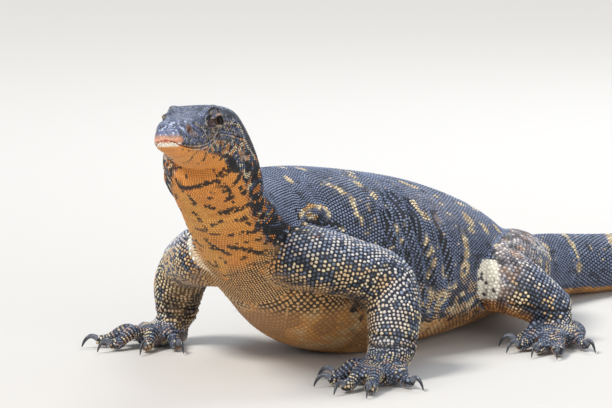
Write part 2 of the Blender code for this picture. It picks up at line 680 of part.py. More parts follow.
def make_foot(name, leg, lower, skin, group):
    """The ankle, the palm with its flat sole, and five toes, all fused and cut clear of the leg."""
    middle = leg_point(leg, (*leg["foot"], 0.0))
    turn = math.radians(leg["heading"] * leg["side"])
    way = np.array([math.cos(turn), math.sin(turn), 0.0])
    up = np.array([0, 0, 1.0])
    long, wide, high = leg["palm"]
    end = leg_rings(leg, [1.0], AROUND_LEG)[0]
    wrist = end.mean(axis=0)
    inside = middle + up * high - way * long * 0.12
    share = np.linspace(0, 1, 5)
    route = wrist + share[:, None] * (inside - wrist)
    shrink = 1 - 0.30 * share**2
    ankle = route[:, None] + (end - wrist)[None] * shrink[:, None, None]
    ankle[..., 2] = np.maximum(ankle[..., 2], 0.0012)
    foot = loft(name, ankle, skin)
    group.objects.link(foot)
    along = np.linspace(-1, 1, 9)
    route = middle + along[:, None] * long * way + up * high
    round_ = np.sqrt(np.maximum(1 - (np.abs(along) * 0.97) ** 2.6, 0.0))
    across = wide * round_ * (1 + 0.10 * along)
    thick = high * (0.55 + 0.60 * round_)
    palm = loft("palm", tube(route, across, thick, AROUND_LEG, np.tile(up, (9, 1))), None)
    boolean(foot, "UNION", [palm] + [make_toe(leg, toe) for toe in leg["toes"]])
    boolean(foot, "DIFFERENCE", [inflated(lower, GAP)])
    return foot


def inflated(source, by):
    """A copy of a closed mesh moved outwards along its normals, as a cutter that leaves a gap."""
    made = source.copy()
    made.data = source.data.copy()
    work = bmesh.new()
    work.from_mesh(made.data)
    bmesh.ops.recalc_face_normals(work, faces=work.faces[:])
    work.normal_update()
    moved = [(v, v.co + v.normal * by * v.calc_shell_factor()) for v in work.verts]
    for vert, place in moved:
        vert.co = place
    work.to_mesh(made.data)
    work.free()
    return made


def make_legs(skin, horn, group, trunk):
    words = {"foreleg": ("upper_arm", "forearm", "hand"), "hindleg": ("thigh", "shin", "foot")}
    for key, leg in LEGS.items():
        kind, side = key.split("_")
        upper_word, lower_word, foot_word = words[kind]
        grid = leg_rings(leg, np.linspace(0.0, ELBOW_SHARE, 10), AROUND_LEG)
        upper = loft(f"{upper_word}_{side}", grid, skin)
        group.objects.link(upper)
        boolean(upper, "DIFFERENCE", [inflated(trunk, GAP)])
        shares = np.concatenate([[ELBOW_SHARE], np.linspace(ELBOW_SHARE + 0.10, 1.0, 7)])
        grid = leg_rings(leg, shares, AROUND_LEG)
        face = unit(np.cross(grid[0, 1] - grid[0, 0], grid[0, 2] - grid[0, 1]))
        grid[0] += face * GAP * np.sign(face @ (grid[1].mean(axis=0) - grid[0].mean(axis=0)))
        lower = loft(f"{lower_word}_{side}", grid, skin)
        group.objects.link(lower)
        boolean(lower, "DIFFERENCE", [inflated(upper, GAP * 0.8), inflated(trunk, GAP)])
        make_foot(f"{foot_word}_{side}", leg, lower, skin, group)
        for number, toe in enumerate(leg["toes"], 1):
            make_claw(f"claw_{foot_word}_{side}_{number}", leg, toe, horn, group)


def centre_on_footprint(group):
    """Moves every object so that the middle of the whole footprint is the origin."""
    corners = np.concatenate([[tuple(v.co) for v in obj.data.vertices] for obj in group.objects])
    low, high = corners.min(axis=0), corners.max(axis=0)
    shift = Vector(((low[0] + high[0]) / 2, (low[1] + high[1]) / 2, low[2]))
    for obj in group.objects:
        for vert in obj.data.vertices:
            vert.co -= shift


def main():
    clear_scene()
    group = collection("water_monitor")
    skin = material("scaly skin", (0.11, 0.12, 0.14), 0.55)
    horn = material("claw horn", (0.05, 0.05, 0.055), 0.35)
    wet_eye = material("wet eye", (0.03, 0.02, 0.015), 0.08)
    trunk = make_trunk(skin, group)
    make_head(skin, group)
    make_eyes(wet_eye, group)
    make_legs(skin, horn, group, trunk)
    bpy.data.objects.remove(trunk, do_unlink=True)
    centre_on_footprint(group)


main()
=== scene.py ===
"""Looks of a life-size water monitor lizard: skin, scales, lids, eyes, claws, floor and lights.

Lengths are metres. The modelling frame is the solids' own: +X runs from the hips to the shoulders,
+Y is the animal's left, +Z is up, with the shoulder joints over x = 0. The finished pieces are
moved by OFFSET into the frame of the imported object.
"""
import json
import math
from functools import partial

import bpy
import numpy as np
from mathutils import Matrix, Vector
from mathutils.bvhtree import BVHTree
from mathutils.kdtree import KDTree

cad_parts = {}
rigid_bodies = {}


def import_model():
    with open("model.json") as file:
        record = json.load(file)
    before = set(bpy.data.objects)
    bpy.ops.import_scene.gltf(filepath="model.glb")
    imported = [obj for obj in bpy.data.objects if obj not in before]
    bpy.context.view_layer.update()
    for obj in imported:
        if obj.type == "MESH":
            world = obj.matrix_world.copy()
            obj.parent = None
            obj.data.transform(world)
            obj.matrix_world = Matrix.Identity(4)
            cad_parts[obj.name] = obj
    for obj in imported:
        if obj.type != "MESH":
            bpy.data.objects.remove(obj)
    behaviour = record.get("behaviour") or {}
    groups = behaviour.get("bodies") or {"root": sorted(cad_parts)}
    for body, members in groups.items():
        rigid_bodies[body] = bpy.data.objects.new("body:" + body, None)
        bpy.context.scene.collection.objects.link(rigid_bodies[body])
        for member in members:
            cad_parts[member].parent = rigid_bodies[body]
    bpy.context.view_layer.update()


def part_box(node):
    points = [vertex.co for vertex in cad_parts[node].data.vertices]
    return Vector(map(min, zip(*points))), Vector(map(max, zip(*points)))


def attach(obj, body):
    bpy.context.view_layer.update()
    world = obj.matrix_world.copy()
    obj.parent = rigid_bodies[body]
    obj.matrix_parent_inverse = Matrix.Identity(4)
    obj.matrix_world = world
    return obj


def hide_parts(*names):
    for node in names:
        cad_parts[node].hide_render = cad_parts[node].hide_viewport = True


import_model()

bl_info = {
    "name": "Water monitor",
    "version": (1, 0, 0),
    "blender": (4, 5, 0),
    "location": "3D View > Sidebar > Monitor",
    "description": "Builds the skin, scales, eyes and claws of a water monitor lizard",
    "category": "Add Mesh",
}

# Sizes, as in the solids but for the claws and the opening of the lids, which are finer here
HEAD = 0.130            # snout tip to the back of the jaw
TRUNK = 0.345           # shoulder joint to hip joint
TAIL = 1.16             # hip joint to tail tip
BELLY_HALF_WIDTH = 0.094
TAIL_HALF_WIDTH = 0.036
EYE_RADIUS = 0.0078
CLAW_LENGTH = 0.0175
CLAW_LIFT = 0.0006
SNOUT = np.array([0.1912, 0.0712, 0.2142])
HEAD_YAW = math.radians(21.5)
HEAD_PITCH = math.radians(6.0)
HEAD_ROLL = math.radians(3.0)
# Places on the head in head lengths: behind the snout, left of the middle, over the mouth line
EYE_PLACE = (0.495, 0.128, 0.104)
NOSTRIL_PLACE = (0.140, 0.098, 0.068)
EAR_BACK = 0.775
EAR_ANGLE = -18
LID_OPENING = (0.0068, 0.0032, 0.0034)        # half length, rise and drop of the rim

# Head lengths behind the snout, half width, rise, drop, and powers of the upper and lower outline
HEAD_SECTIONS = (
    (0.000, 0.020, 0.022, 0.016, 2.0, 2.0),
    (0.012, 0.056, 0.058, 0.040, 2.1, 2.0),
    (0.045, 0.086, 0.094, 0.062, 2.2, 2.1),
    (0.100, 0.104, 0.122, 0.078, 2.3, 2.2),
    (0.180, 0.118, 0.142, 0.092, 2.5, 2.2),
    (0.300, 0.138, 0.162, 0.112, 2.8, 2.3),
    (0.400, 0.154, 0.190, 0.128, 3.0, 2.3),
    (0.500, 0.172, 0.214, 0.144, 3.2, 2.3),
    (0.600, 0.204, 0.222, 0.160, 3.1, 2.2),
    (0.680, 0.238, 0.219, 0.176, 2.9, 2.2),
)
# Middle of the section, half width, rise, drop, and powers of the upper and lower outline
BODY_SECTIONS = (
    (0.0935, 0.0335, 0.193, 0.0348, 0.0272, 0.0290, 2.5, 2.2),
    (0.0790, 0.0265, 0.173, 0.0360, 0.0290, 0.0340, 2.3, 2.2),
    (0.0580, 0.0175, 0.147, 0.0340, 0.0320, 0.0330, 2.1, 2.1),
    (0.0270, 0.0070, 0.127, 0.0390, 0.0420, 0.0400, 2.1, 2.1),
    (-0.008, 0.000, 0.114, 0.0540, 0.0550, 0.0570, 2.1, 2.1),
    (-0.050, 0.000, 0.103, 0.0700, 0.0630, 0.0790, 2.1, 2.2),
    (-0.110, 0.000, 0.088, 0.0860, 0.0690, 0.0900, 2.1, 2.3),
    (-0.180, 0.000, 0.076, BELLY_HALF_WIDTH, 0.0670, 0.0800, 2.1, 2.3),
    (-0.250, 0.000, 0.062, 0.0840, 0.0580, 0.0640, 2.1, 2.3),
    (-0.310, 0.000, 0.049, 0.0600, 0.0440, 0.0500, 2.1, 2.2),
    (-TRUNK - 0.010, 0.000, 0.039, 0.0440, 0.0350, 0.0395, 2.0, 2.1),
)
# Head lengths from the snout, degrees, spread along, spread round in degrees, height in head lengths
HEAD_FORMS = (
    ("brow ridge", 0.500, 54, 0.085, 13, 0.030),
    ("brow ridge front", 0.395, 50, 0.060, 11, 0.014),
    ("hollow before the eye", 0.345, 24, 0.070, 14, -0.014),
    ("swelling at the nostril", 0.135, 46, 0.050, 16, 0.010),
    ("hollow between the brows", 0.480, 90, 0.110, 20, -0.012),
    ("hollow under the eye", 0.520, 20, 0.070, 10, -0.010),
    ("bulge of the eye", 0.500, 33, 0.050, 10, 0.010),
    ("temple", 0.700, 48, 0.090, 16, 0.010),
    ("jowl", 0.840, -14, 0.110, 26, 0.022),
    ("slack throat", 0.560, -90, 0.220, 46, 0.018),
)
MOUTH_LENGTH = 0.70 * HEAD
# Head lengths from the snout, degrees over the middle of the section
MOUTH_LINE = (
    (0.0, -8), (0.015, -18), (0.077, -27), (0.20, -27), (0.294, -20), (0.394, -6), (0.457, 1), (0.70, 1),
)
LIP_GROOVE = 0.0014
# Metres from the snout, degrees, spread along, spread round in degrees, height
NECK_FOLDS = (
    ("throat fold", 0.098, -90, 0.0050, 55, -0.0045),
    ("throat bulge", 0.118, -90, 0.0120, 50, 0.0040),
    ("neck pleat", 0.140, -5, 0.0240, 9, 0.0050),
    ("neck hollow", 0.150, 18, 0.0240, 10, -0.0040),
    ("shoulder pleat", 0.182, 10, 0.0180, 10, 0.0050),
    ("shoulder hollow", 0.186, -12, 0.0160, 10, -0.0040),
)
# Half widths and thicknesses down the limb, half length, width and height of the palm, and for each
# toe its heading from the foot's, its reach and its arch
FORE_SIZES = {
    "across": (0.027, 0.0285, 0.0265, 0.0245, 0.0235, 0.0215, 0.0205),
    "thick": (0.026, 0.0270, 0.0245, 0.0235, 0.0225, 0.0200, 0.0175),
    "palm": (0.024, 0.0215, 0.0095),
    "toes": (
        (-76, 0.042, 0.014), (-38, 0.046, 0.014), (-3, 0.056, 0.014), (21, 0.058, 0.014), (74, 0.036, 0.012),
    ),
}
HIND_SIZES = {
    "palm": (0.030, 0.0200, 0.0095),
    "toes": (
        (-46, 0.044, 0.0135), (-18, 0.056, 0.0135), (5, 0.062, 0.0135), (22, 0.066, 0.0135),
        (58, 0.040, 0.012),
    ),
}
# Places of the foot and of the joints from shoulder or hip to wrist or ankle, with +Y to the leg's own side
LEGS = {
    "foreleg_left": {
        "side": 1, "foot": (-0.014, 0.126), "heading": 6, **FORE_SIZES,
        "joints": (
            (0.000, 0.022, 0.100), (-0.006, 0.058, 0.097), (-0.032, 0.084, 0.088), (-0.054, 0.102, 0.074),
            (-0.049, 0.112, 0.054), (-0.040, 0.118, 0.036), (-0.033, 0.122, 0.023),
        ),
    },
    "foreleg_right": {
        "side": -1, "foot": (-0.038, 0.130), "heading": 16, **FORE_SIZES,
        "joints": (
            (0.000, 0.022, 0.098), (-0.004, 0.050, 0.091), (-0.024, 0.080, 0.083), (-0.045, 0.107, 0.070),
            (-0.050, 0.120, 0.052), (-0.052, 0.124, 0.036), (-0.052, 0.125, 0.023),
        ),
    },
    "hindleg_left": {
        "side": 1, "foot": (-0.251, 0.144), "heading": 9, **HIND_SIZES,
        "joints": (
            (-0.345, 0.010, 0.042), (-0.324, 0.040, 0.048), (-0.274, 0.068, 0.054), (-0.234, 0.089, 0.055),
            (-0.236, 0.108, 0.049), (-0.249, 0.125, 0.036), (-0.261, 0.136, 0.0245),
        ),
        "across": (0.034, 0.036, 0.034, 0.0285, 0.0265, 0.0225, 0.0195),
        "thick": (0.031, 0.036, 0.036, 0.0305, 0.0265, 0.0205, 0.0170),
    },
    "hindleg_right": {
        "side": -1, "foot": (-0.280, 0.146), "heading": 14, **HIND_SIZES,
        "joints": (
            (-0.345, 0.010, 0.042), (-0.334, 0.043, 0.048), (-0.300, 0.078, 0.056), (-0.270, 0.100, 0.059),
            (-0.270, 0.118, 0.050), (-0.284, 0.134, 0.036), (-0.298, 0.142, 0.0245),
        ),
        "across": (0.034, 0.036, 0.033, 0.0275, 0.0265, 0.0225, 0.0195),
        "thick": (0.030, 0.033, 0.030, 0.0260, 0.0245, 0.0205, 0.0170),
    },
}
UP = np.array([0.0, 0.0, 1.0])
JOINT_AT = (0.0, 0.16, 0.36, 0.58, 0.74, 0.89, 1.0)
TOE_TIP_RADIUS = 0.0046
TOE_RADII = (
    (0, 0.0060), (0.25, 0.0062), (0.5, 0.0068), (0.66, 0.0058), (0.82, 0.0064), (1.0, TOE_TIP_RADIUS),
)
CLAW_THICK = 0.52       # half height of a claw's root, as a share of the toe's tip
# Heading of the tail in degrees at shares of its length
TAIL_HEADINGS = ((0.0, 180), (0.10, 168), (0.22, 126), (0.42, 112), (0.62, 126), (0.80, 158), (1.0, 186))

# Creases and swellings of the skin only: metres from the snout, degrees, spread along, round, height
SKIN_FORMS = (
    ("shoulder flap", 0.251, 24.5, 0.0105, 4.2, 0.0062),
    ("knob under the flap", 0.234, 10, 0.0045, 4.5, 0.0034),
    ("under the flap", 0.254, 14, 0.0180, 3.6, -0.0060),
    ("fold of the shoulder", 0.276, 8, 0.0140, 5.0, 0.0020),
    ("crease of the jaw", 0.072, -34, 0.0200, 3.0, -0.0009),
    ("crease of the jaw", 0.078, -22, 0.0160, 2.6, -0.0009),
    ("crease of the cheek", 0.086, -6, 0.0030, 10, -0.0010),
    ("crease of the cheek", 0.093, -8, 0.0028, 12, 0.0008),
    ("crease of the neck", 0.126, -20, 0.0022, 22, -0.0009),
    ("crease of the neck", 0.134, -24, 0.0026, 22, 0.0007),
    ("crease of the neck", 0.159, -18, 0.0026, 22, -0.0010),
    ("crease of the neck", 0.190, -14, 0.0030, 24, -0.0012),
    ("crease of the neck", 0.214, -20, 0.0034, 24, -0.0012),
)
# Folds of the flank behind the foreleg: half width in millimetres, then millimetres from the snout and
# degrees over the middle of the section
FLANK_FOLDS = (
    (1.6, (345, 48), (342, 30), (345, 18), (353, 8), (362, -4), (370, -16)),
    (1.0, (335, 44), (331, 30), (336, 17), (344, 6), (350, -4)),
    (1.0, (363, 42), (358, 28), (361, 12), (371, 0), (379, -13)),
    (0.8, (322, 30), (322, 18), (328, 8)),
    (0.8, (389, 34), (386, 18), (391, 4), (398, -8)),
)
# Folds of the cheek and round the eye
FACE_FOLDS = (
    (0.3, (30, 38), (36, 30), (44, 16), (52, 9), (62, 6)), (0.3, (34, 8), (44, 2), (54, 0), (64, 3)),
    (0.3, (24, 24), (31, 12), (38, 2)), (0.3, (58, 22), (62, 14), (70, 9), (79, 10), (85, 17)),
    (0.3, (54, 30), (58, 12), (68, 4), (80, 5), (89, 12)), (0.2, (40, 30), (48, 22), (55, 18)),
)
# Lines through places in space: the left elbow's crease, the white stripe of the right shoulder, and
# the pale scales where a foreleg joins the chest
ELBOW_FOLD = (
    (-0.0150, 0.1010, 0.0790), (-0.0215, 0.1080, 0.0870), (-0.0315, 0.1125, 0.0905),
    (-0.0415, 0.1140, 0.0925),
)
SHOULDER_STRIPE = (
    (0.0126, -0.0560, 0.1108), (0.0241, -0.0434, 0.0987), (0.0249, -0.0340, 0.0895),
    (0.0300, -0.0220, 0.0800),
)
ARMPIT = ((0.012, 0.030, 0.075), (-0.004, 0.062, 0.070), (-0.020, 0.080, 0.066))
WRIST_LEVELS = (0.0275, 0.0352)
ANKLE_LEVELS = (0.0300,)


def linear(code):
    """Linear RGB of a colour written as #rrggbb."""
    value = np.array([int(code[i:i + 2], 16) for i in (1, 3, 5)]) / 255
    return np.where(value <= 0.04045, value / 12.92, ((value + 0.055) / 1.055) ** 2.4)


def tone(name):
    """Linear RGB of a colour: a code written as #rrggbb, or the name of one set in the sidebar."""
    return linear(name) if name[0] == "#" else np.array(getattr(bpy.context.scene.monitor_colours, name))


def mix(a, b, share):
    """Blend of two colours, each an array or a name that tone() knows, by this share of the second."""
    a, b = (tone(c) if isinstance(c, str) else c for c in (a, b))
    return a * (1 - share[:, None]) + b * share[:, None]


def painted(colour, *coats):
    """The colour with these coats laid over it in turn, each a colour and its share."""
    for coat, share in coats:
        colour = mix(colour, coat, share)
    return colour


def smooth(knots, values, at):
    """Cubic Hermite curve through the values at the knots, with weighted finite-difference slopes."""
    knots, values = np.asarray(knots, float), np.asarray(values, float)
    at = np.clip(np.atleast_1d(np.asarray(at, float)), knots[0], knots[-1])
    tall = [-1] + [1] * (values.ndim - 1)
    gap = np.diff(knots)
    rise = np.diff(values, axis=0) / gap.reshape(tall)
    before, after = gap[:-1].reshape(tall), gap[1:].reshape(tall)
    slope = np.concatenate([rise[:1], (after * rise[:-1] + before * rise[1:]) / (before + after), rise[-1:]])
    i = np.clip(np.searchsorted(knots, at, side="right") - 1, 0, len(gap) - 1)
    h = gap[i].reshape(tall)
    t = ((at - knots[i]) / gap[i]).reshape(tall)
    return (
        values[i] * (2 * t**3 - 3 * t**2 + 1)
        + slope[i] * h * (t**3 - 2 * t**2 + t)
        + values[i + 1] * (3 * t**2 - 2 * t**3)
        + slope[i + 1] * h * (t**3 - t**2)
    )


def norm(v):
    return np.linalg.norm(v, axis=-1)


def unit(v):
    return v / np.maximum(np.linalg.norm(v, axis=-1, keepdims=True), 1e-12)


def table_value(rows, at):
    """Value at these places of a table of places and values, on a smooth curve."""
    return smooth([row[0] for row in rows], [row[1] for row in rows], np.ravel(at)).reshape(np.shape(at))


def step(low, high, value):
    """0 under low, 1 over high and a smooth ramp between them; high may be the lower one."""
    t = np.clip((value - low) / (high - low), 0, 1)
    return t * t * (3 - 2 * t)


def bell(value):
    """1 at zero, falling off on both sides as exp(-value^2)."""
    return np.exp(-(value**2))


def head_turn():
    """Rotation from head axes (forward, left, up) to the modelling frame."""
    cy, sy = math.cos(HEAD_YAW), math.sin(HEAD_YAW)
    cp, sp = math.cos(HEAD_PITCH), math.sin(HEAD_PITCH)
    cr, sr = math.cos(HEAD_ROLL), math.sin(HEAD_ROLL)
    yaw = np.array([[cy, -sy, 0], [sy, cy, 0], [0, 0, 1]])
    pitch = np.array([[cp, 0, -sp], [0, 1, 0], [sp, 0, cp]])
    roll = np.array([[1, 0, 0], [0, cr, -sr], [0, sr, cr]])
    return yaw @ pitch @ roll


TURN = head_turn()


def on_head(back, left, rise):
    """A point given in head lengths behind the snout, left of the middle and over the mouth line."""
    return SNOUT + TURN @ (HEAD * np.array([-back, left, rise]))


def nostril(side):
    return on_head(NOSTRIL_PLACE[0], NOSTRIL_PLACE[1] * side, NOSTRIL_PLACE[2])


def eye_centre(side):
    return on_head(EYE_PLACE[0], EYE_PLACE[1] * side, EYE_PLACE[2])


def tail_half_width(along):
    waist = 1 - 0.16 * bell((along - 0.35) / 0.3)
    return TAIL_HALF_WIDTH * (0.04 + 0.96 * (1 - along) ** 1.25) * waist


def tail_half_height(along):
    return 0.031 * (0.04 + 0.96 * (1 - along) ** 0.92)


def tail_path(count):
    """Points along the tail: its heading swings to the animal's left, then back towards the tip."""
    along = np.linspace(0, 1, count)
    heading = np.radians(table_value(TAIL_HEADINGS, along))
    start = np.array(BODY_SECTIONS[-1][:3])
    length = TAIL / (count - 1)
    run = np.cumsum(np.stack([np.cos(heading), np.sin(heading)], 1) * length, axis=0)
    path = np.empty((count, 3))
    path[0, :2] = start[:2]
    path[1:, :2] = start[:2] + run[:-1]
    sag = bell(along / 0.08)
    path[:, 2] = np.maximum(tail_half_height(along) * 0.97, 0) * (1 - sag) + start[2] * sag
    return along, path


class Spine:
    """The line from snout to tail tip, with the section at each place along it."""

    def __init__(self):
        rows = []
        for back, half, rise, drop, top, under in HEAD_SECTIONS:
            rows.append((*on_head(back, 0, 0), half * HEAD, rise * HEAD, drop * HEAD, top, under))
        rows += BODY_SECTIONS
        along, path = tail_path(26)
        for t, p in list(zip(along, path))[2:]:
            rise = float(tail_half_height(t))
            rows.append((*p, float(tail_half_width(t)), rise * 1.05, rise, 1.75, 2.1))
        rows = np.array(rows)
        gaps = norm(np.diff(rows[:, :3], axis=0))
        self.at = np.concatenate([[0], np.cumsum(gaps)])
        self.rows = rows
        self.head_end = HEAD * HEAD_SECTIONS[-1][0]
        self.length = float(self.at[-1])

    def frames(self, at):
        """Places, directions towards the tail, left and up, and section sizes, for any array of places."""
        shape = np.shape(at)
        at = np.ravel(at).astype(float)
        row = smooth(self.at, self.rows, at)
        near = np.minimum(0.016, at + 1e-4)
        ahead = smooth(self.at, self.rows[:, :3], at + near)
        behind = smooth(self.at, self.rows[:, :3], at - near)
        tangent = unit(ahead - behind)
        share = np.clip((at - self.head_end) / 0.08, 0, 1)[:, None]
        upward = unit((TURN @ UP) * (1 - share) + UP * share)
        up = unit(upward - tangent * np.sum(upward * tangent, axis=1, keepdims=True))
        left = np.cross(tangent, up)
        return tuple(v.reshape(*shape, -1) for v in (row[:, :3], tangent, left, up, row[:, 3:]))

    def place_of_x(self, x):
        """Distance along the spine where it passes this x, behind the head."""
        at = np.linspace(self.head_end, self.length * 0.55, 3000)
        return float(at[np.argmin(np.abs(smooth(self.at, self.rows[:, 0], at) - x))])


SPINE = Spine()
NECK_SEAM = 0.150                             # metres from the snout: head skin ends, trunk skin begins
TAIL_SEAM = SPINE.place_of_x(-0.445)


def lips_at(at):
    """Angle of the mouth line at places along the spine, level behind the corner of the mouth."""
    return table_value(MOUTH_LINE, np.clip(at / HEAD, 0, MOUTH_LINE[-1][0]))


def lines_away(lines, at, level, radius, ragged=0.0):
    """Distance in millimetres over the skin from the drawn lines, each less its own half width."""
    x, grade = at * 1000, radius * 1000 * math.pi / 180
    nearest = np.full(np.shape(grade), 99.0)
    for half, *knots in lines:
        for (x0, a0), (x1, a1) in zip(knots[:-1], knots[1:]):
            dx, da = x1 - x0 + 1e-6, (a1 - a0) * grade
            t = np.clip(((x - x0) * dx + (level - a0) * grade * da) / (dx * dx + da * da), 0, 1)
            far = np.hypot(x - x0 - t * dx, (level - a0) * grade - t * da) - half
            nearest = np.minimum(nearest, far + ragged * min(1, half / 1.2))
    return nearest


def body_surface(at, degrees, inset=0.0):
    """Points of the body at these places along the spine and angles round it.

    Angle 0 is the left at the mouth line, 90 the top, 180 the right, 270 the underside. A point is
    across = half * sign(cos) |cos|^(2/power) and above = rise * sign(sin) |sin|^(2/power) from the
    spine, moved outwards by a sum of bell shapes, one for each form.
    """
    at, degrees = np.asarray(at, float), np.asarray(degrees, float)
    angle = np.radians(degrees)
    places, _, left, up, size = SPINE.frames(at)
    c, s = np.cos(angle), np.sin(angle)
    half, rise, drop, top, under = (size[..., i] for i in range(5))
    high = s >= 0
    power = np.where(high, top, under)
    across = half * np.sign(c) * np.abs(c) ** (2 / power)
    above = np.where(high, rise, drop) * np.sign(s) * np.abs(s) ** (2 / power)
    turn = np.degrees(np.arctan2(s, np.abs(c))) + 0 * across
    back = at / HEAD
    push = np.zeros_like(across) - inset
    for _, where, level, long, round_, height in HEAD_FORMS:
        push = push + height * HEAD * np.exp(-(((back - where) / long) ** 2) - ((turn - level) / round_) ** 2)
    for _, where, level, long, round_, height in NECK_FOLDS + SKIN_FORMS:
        push = push + height * np.exp(-(((at - where) / long) ** 2) - ((turn - level) / round_) ** 2)
    far = lines_away(FLANK_FOLDS, at, turn, half + 0 * across)
    push = push - 0.0048 * bell(far / 2.6) + 0.0022 * bell((far - 6.2) / 2.8)
    if np.any(at < HEAD):
        far = lines_away(FACE_FOLDS, at, turn, half + 0 * across)
        push = push - 0.0007 * bell(far / 0.55) + 0.0005 * bell((far - 1.8) / 0.9)
    radius = np.hypot(across, above) + 1e-9
    scale = np.maximum(1 + push / radius, 0.05)
    points = places + left * (across * scale)[..., None] + up * (above * scale)[..., None]
    return rest_on_floor(points, up, inset)


def rest_on_floor(points, up, lift=0.0):
    """Moves points that are under the floor up to it, within the plane of their ring."""
    low = np.minimum(points[..., 2:3] - lift, 0)
    flat = np.abs(up[..., 2:3]) < 0.2
    lean = np.where(flat, 1.0, up[..., 2:3])
    way = np.where(flat, UP, up)
    return points - way * low / lean


class Tube:
    """A limb or toe: an ellipse carried along a curve through a few knots."""

    def __init__(self, knots, path, across, thick, outward, reach=0.14):
        self.knots, self.path = knots, np.asarray(path, float)
        self.sizes = np.stack([across, thick], 1)
        self.outward, self.reach = np.asarray(outward, float), reach

    def surface(self, share, degrees, inset=0.0):
        """path(share) + side * across * cos(angle) + up * thick * sin(angle)."""
        share, degrees = np.broadcast_arrays(np.asarray(share, float), np.asarray(degrees, float))
        shape = share.shape
        flat = share.ravel()
        place = smooth(self.knots, self.path, flat)
        ahead = smooth(self.knots, self.path, flat + self.reach)
        tangent = unit(ahead - smooth(self.knots, self.path, flat - self.reach))
        up = unit(self.outward - tangent * (tangent @ self.outward)[:, None])
        side = np.cross(up, tangent)
        size = smooth(self.knots, self.sizes, flat) - inset
        angle = np.radians(degrees.ravel())
        wide, tall = size[:, 0] * np.cos(angle), size[:, 1] * np.sin(angle)
        points = place + side * wide[:, None] + up * tall[:, None]
        points[:, 2] = np.maximum(points[:, 2], inset)
        return points.reshape(*shape, 3)


def leg_point(leg, point):
    return np.array([point[0], point[1] * leg["side"], point[2]])


def leg_tube(leg):
    joints = np.array([leg_point(leg, p) for p in leg["joints"]])
    return Tube(JOINT_AT, joints, leg["across"], leg["thick"], (0.25, leg["side"] * 0.6, 0.75))


def foot_axes(leg, heading=0):
    """Middle of the sole, and the direction of the foot, or of a toe at this heading from the foot's."""
    turn = math.radians((leg["heading"] + heading) * leg["side"])
    return leg_point(leg, (*leg["foot"], 0.0)), np.array([math.cos(turn), math.sin(turn), 0.0])


def palm_tube(leg):
    middle, way = foot_axes(leg)
    long, wide, high = leg["palm"]
    along = np.linspace(-1, 1, 9)
    route = middle + along[:, None] * long * way + high * UP
    round_ = np.sqrt(np.maximum(1 - (np.abs(along) * 0.97) ** 2.6, 0.0))
    across = wide * round_ * (1 + 0.10 * along)
    return Tube((along + 1) / 2, route, across, high * (0.55 + 0.60 * round_), UP, 0.05)


def toe_line(leg, toe):
    """Points of a toe from inside the foot over its knuckle and pad to its tip, and its direction."""
    heading, reach, arch = toe
    middle, way = foot_axes(leg, heading)
    flat = np.array([0.10, 0.34, 0.58, 0.84, 1.0]) * reach
    high = np.array([0.0085, 0.0115, arch, 0.0060, 0.0080])
    return middle + flat[:, None] * way + high[:, None] * UP, way


def toe_tube(leg, toe):
    path, _ = toe_line(leg, toe)
    share = np.linspace(0, 1, 9)
    points = smooth(np.linspace(0, 1, 5), path, share)
    radius = table_value(TOE_RADII, share)
    return Tube(share, points, radius, radius * 0.96, UP, 0.06)


def eye_axes(side):
    """Columns forward, outward and up of the eye, which looks a little forward and up."""
    forward, rise = math.radians(20), math.radians(12)
    out = np.array([math.sin(forward) * math.cos(rise), math.cos(forward) * math.cos(rise), math.sin(rise)])
    gaze = np.array([1.0, 0, -0.06])
    ahead = unit(gaze - out * (out @ gaze))
    return TURN @ np.diag([1.0, side, 1.0]) @ np.stack([ahead, out, np.cross(ahead, out)], axis=1)


EYE_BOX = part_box("eye_left")
OFFSET = eye_centre(1) - (np.array(EYE_BOX[0]) + np.array(EYE_BOX[1])) / 2


# Colour fields

def noise(points, size, seed):
    """Smooth noise from 0 to 1: random values on a grid of this size, blended between its corners."""
    p = points / size + seed * 17.31 + 1000
    base = np.floor(p).astype(np.int64)
    f = p - base
    f = f * f * (3 - 2 * f)
    total = np.zeros(len(points))
    for corner in range(8):
        d = np.array([corner & 1, corner >> 1 & 1, corner >> 2 & 1])
        n = base + d
        h = (n[:, 0] * 73856093) ^ (n[:, 1] * 19349663) ^ (n[:, 2] * 83492791) ^ (seed * 2654435761)
        h = (h ^ (h >> 13)) * 1274126177 & 0x7FFFFFFF
        weight = np.prod(np.where(d, f, 1 - f), axis=1)
        total += weight * ((h ^ (h >> 9)) % 10007) / 10007
    return total


# The edge between the dark upper side and the pale throat and belly: metres from the snout, degrees
PALE_EDGE = (
    (0.0, -14), (0.010, -27), (0.030, -27), (0.045, -30), (0.060, -36), (0.075, -40), (0.090, -50),
    (0.105, -48), (0.120, -38), (0.150, -30), (0.200, -26), (0.235, -20), (0.280, -26), (0.310, -32),
    (0.480, -30), (0.60, -34), (0.70, -42), (0.90, -60), (1.2, -75), (1.8, -80),
)
# Degrees over that edge in which black is mottled with orange, at metres from the snout
MOTTLE_REACH = (
    (0.0, 0), (0.045, 10), (0.060, 30), (0.10, 44), (0.16, 44), (0.20, 36), (0.24, 14), (0.30, 6), (1.8, 4),
)
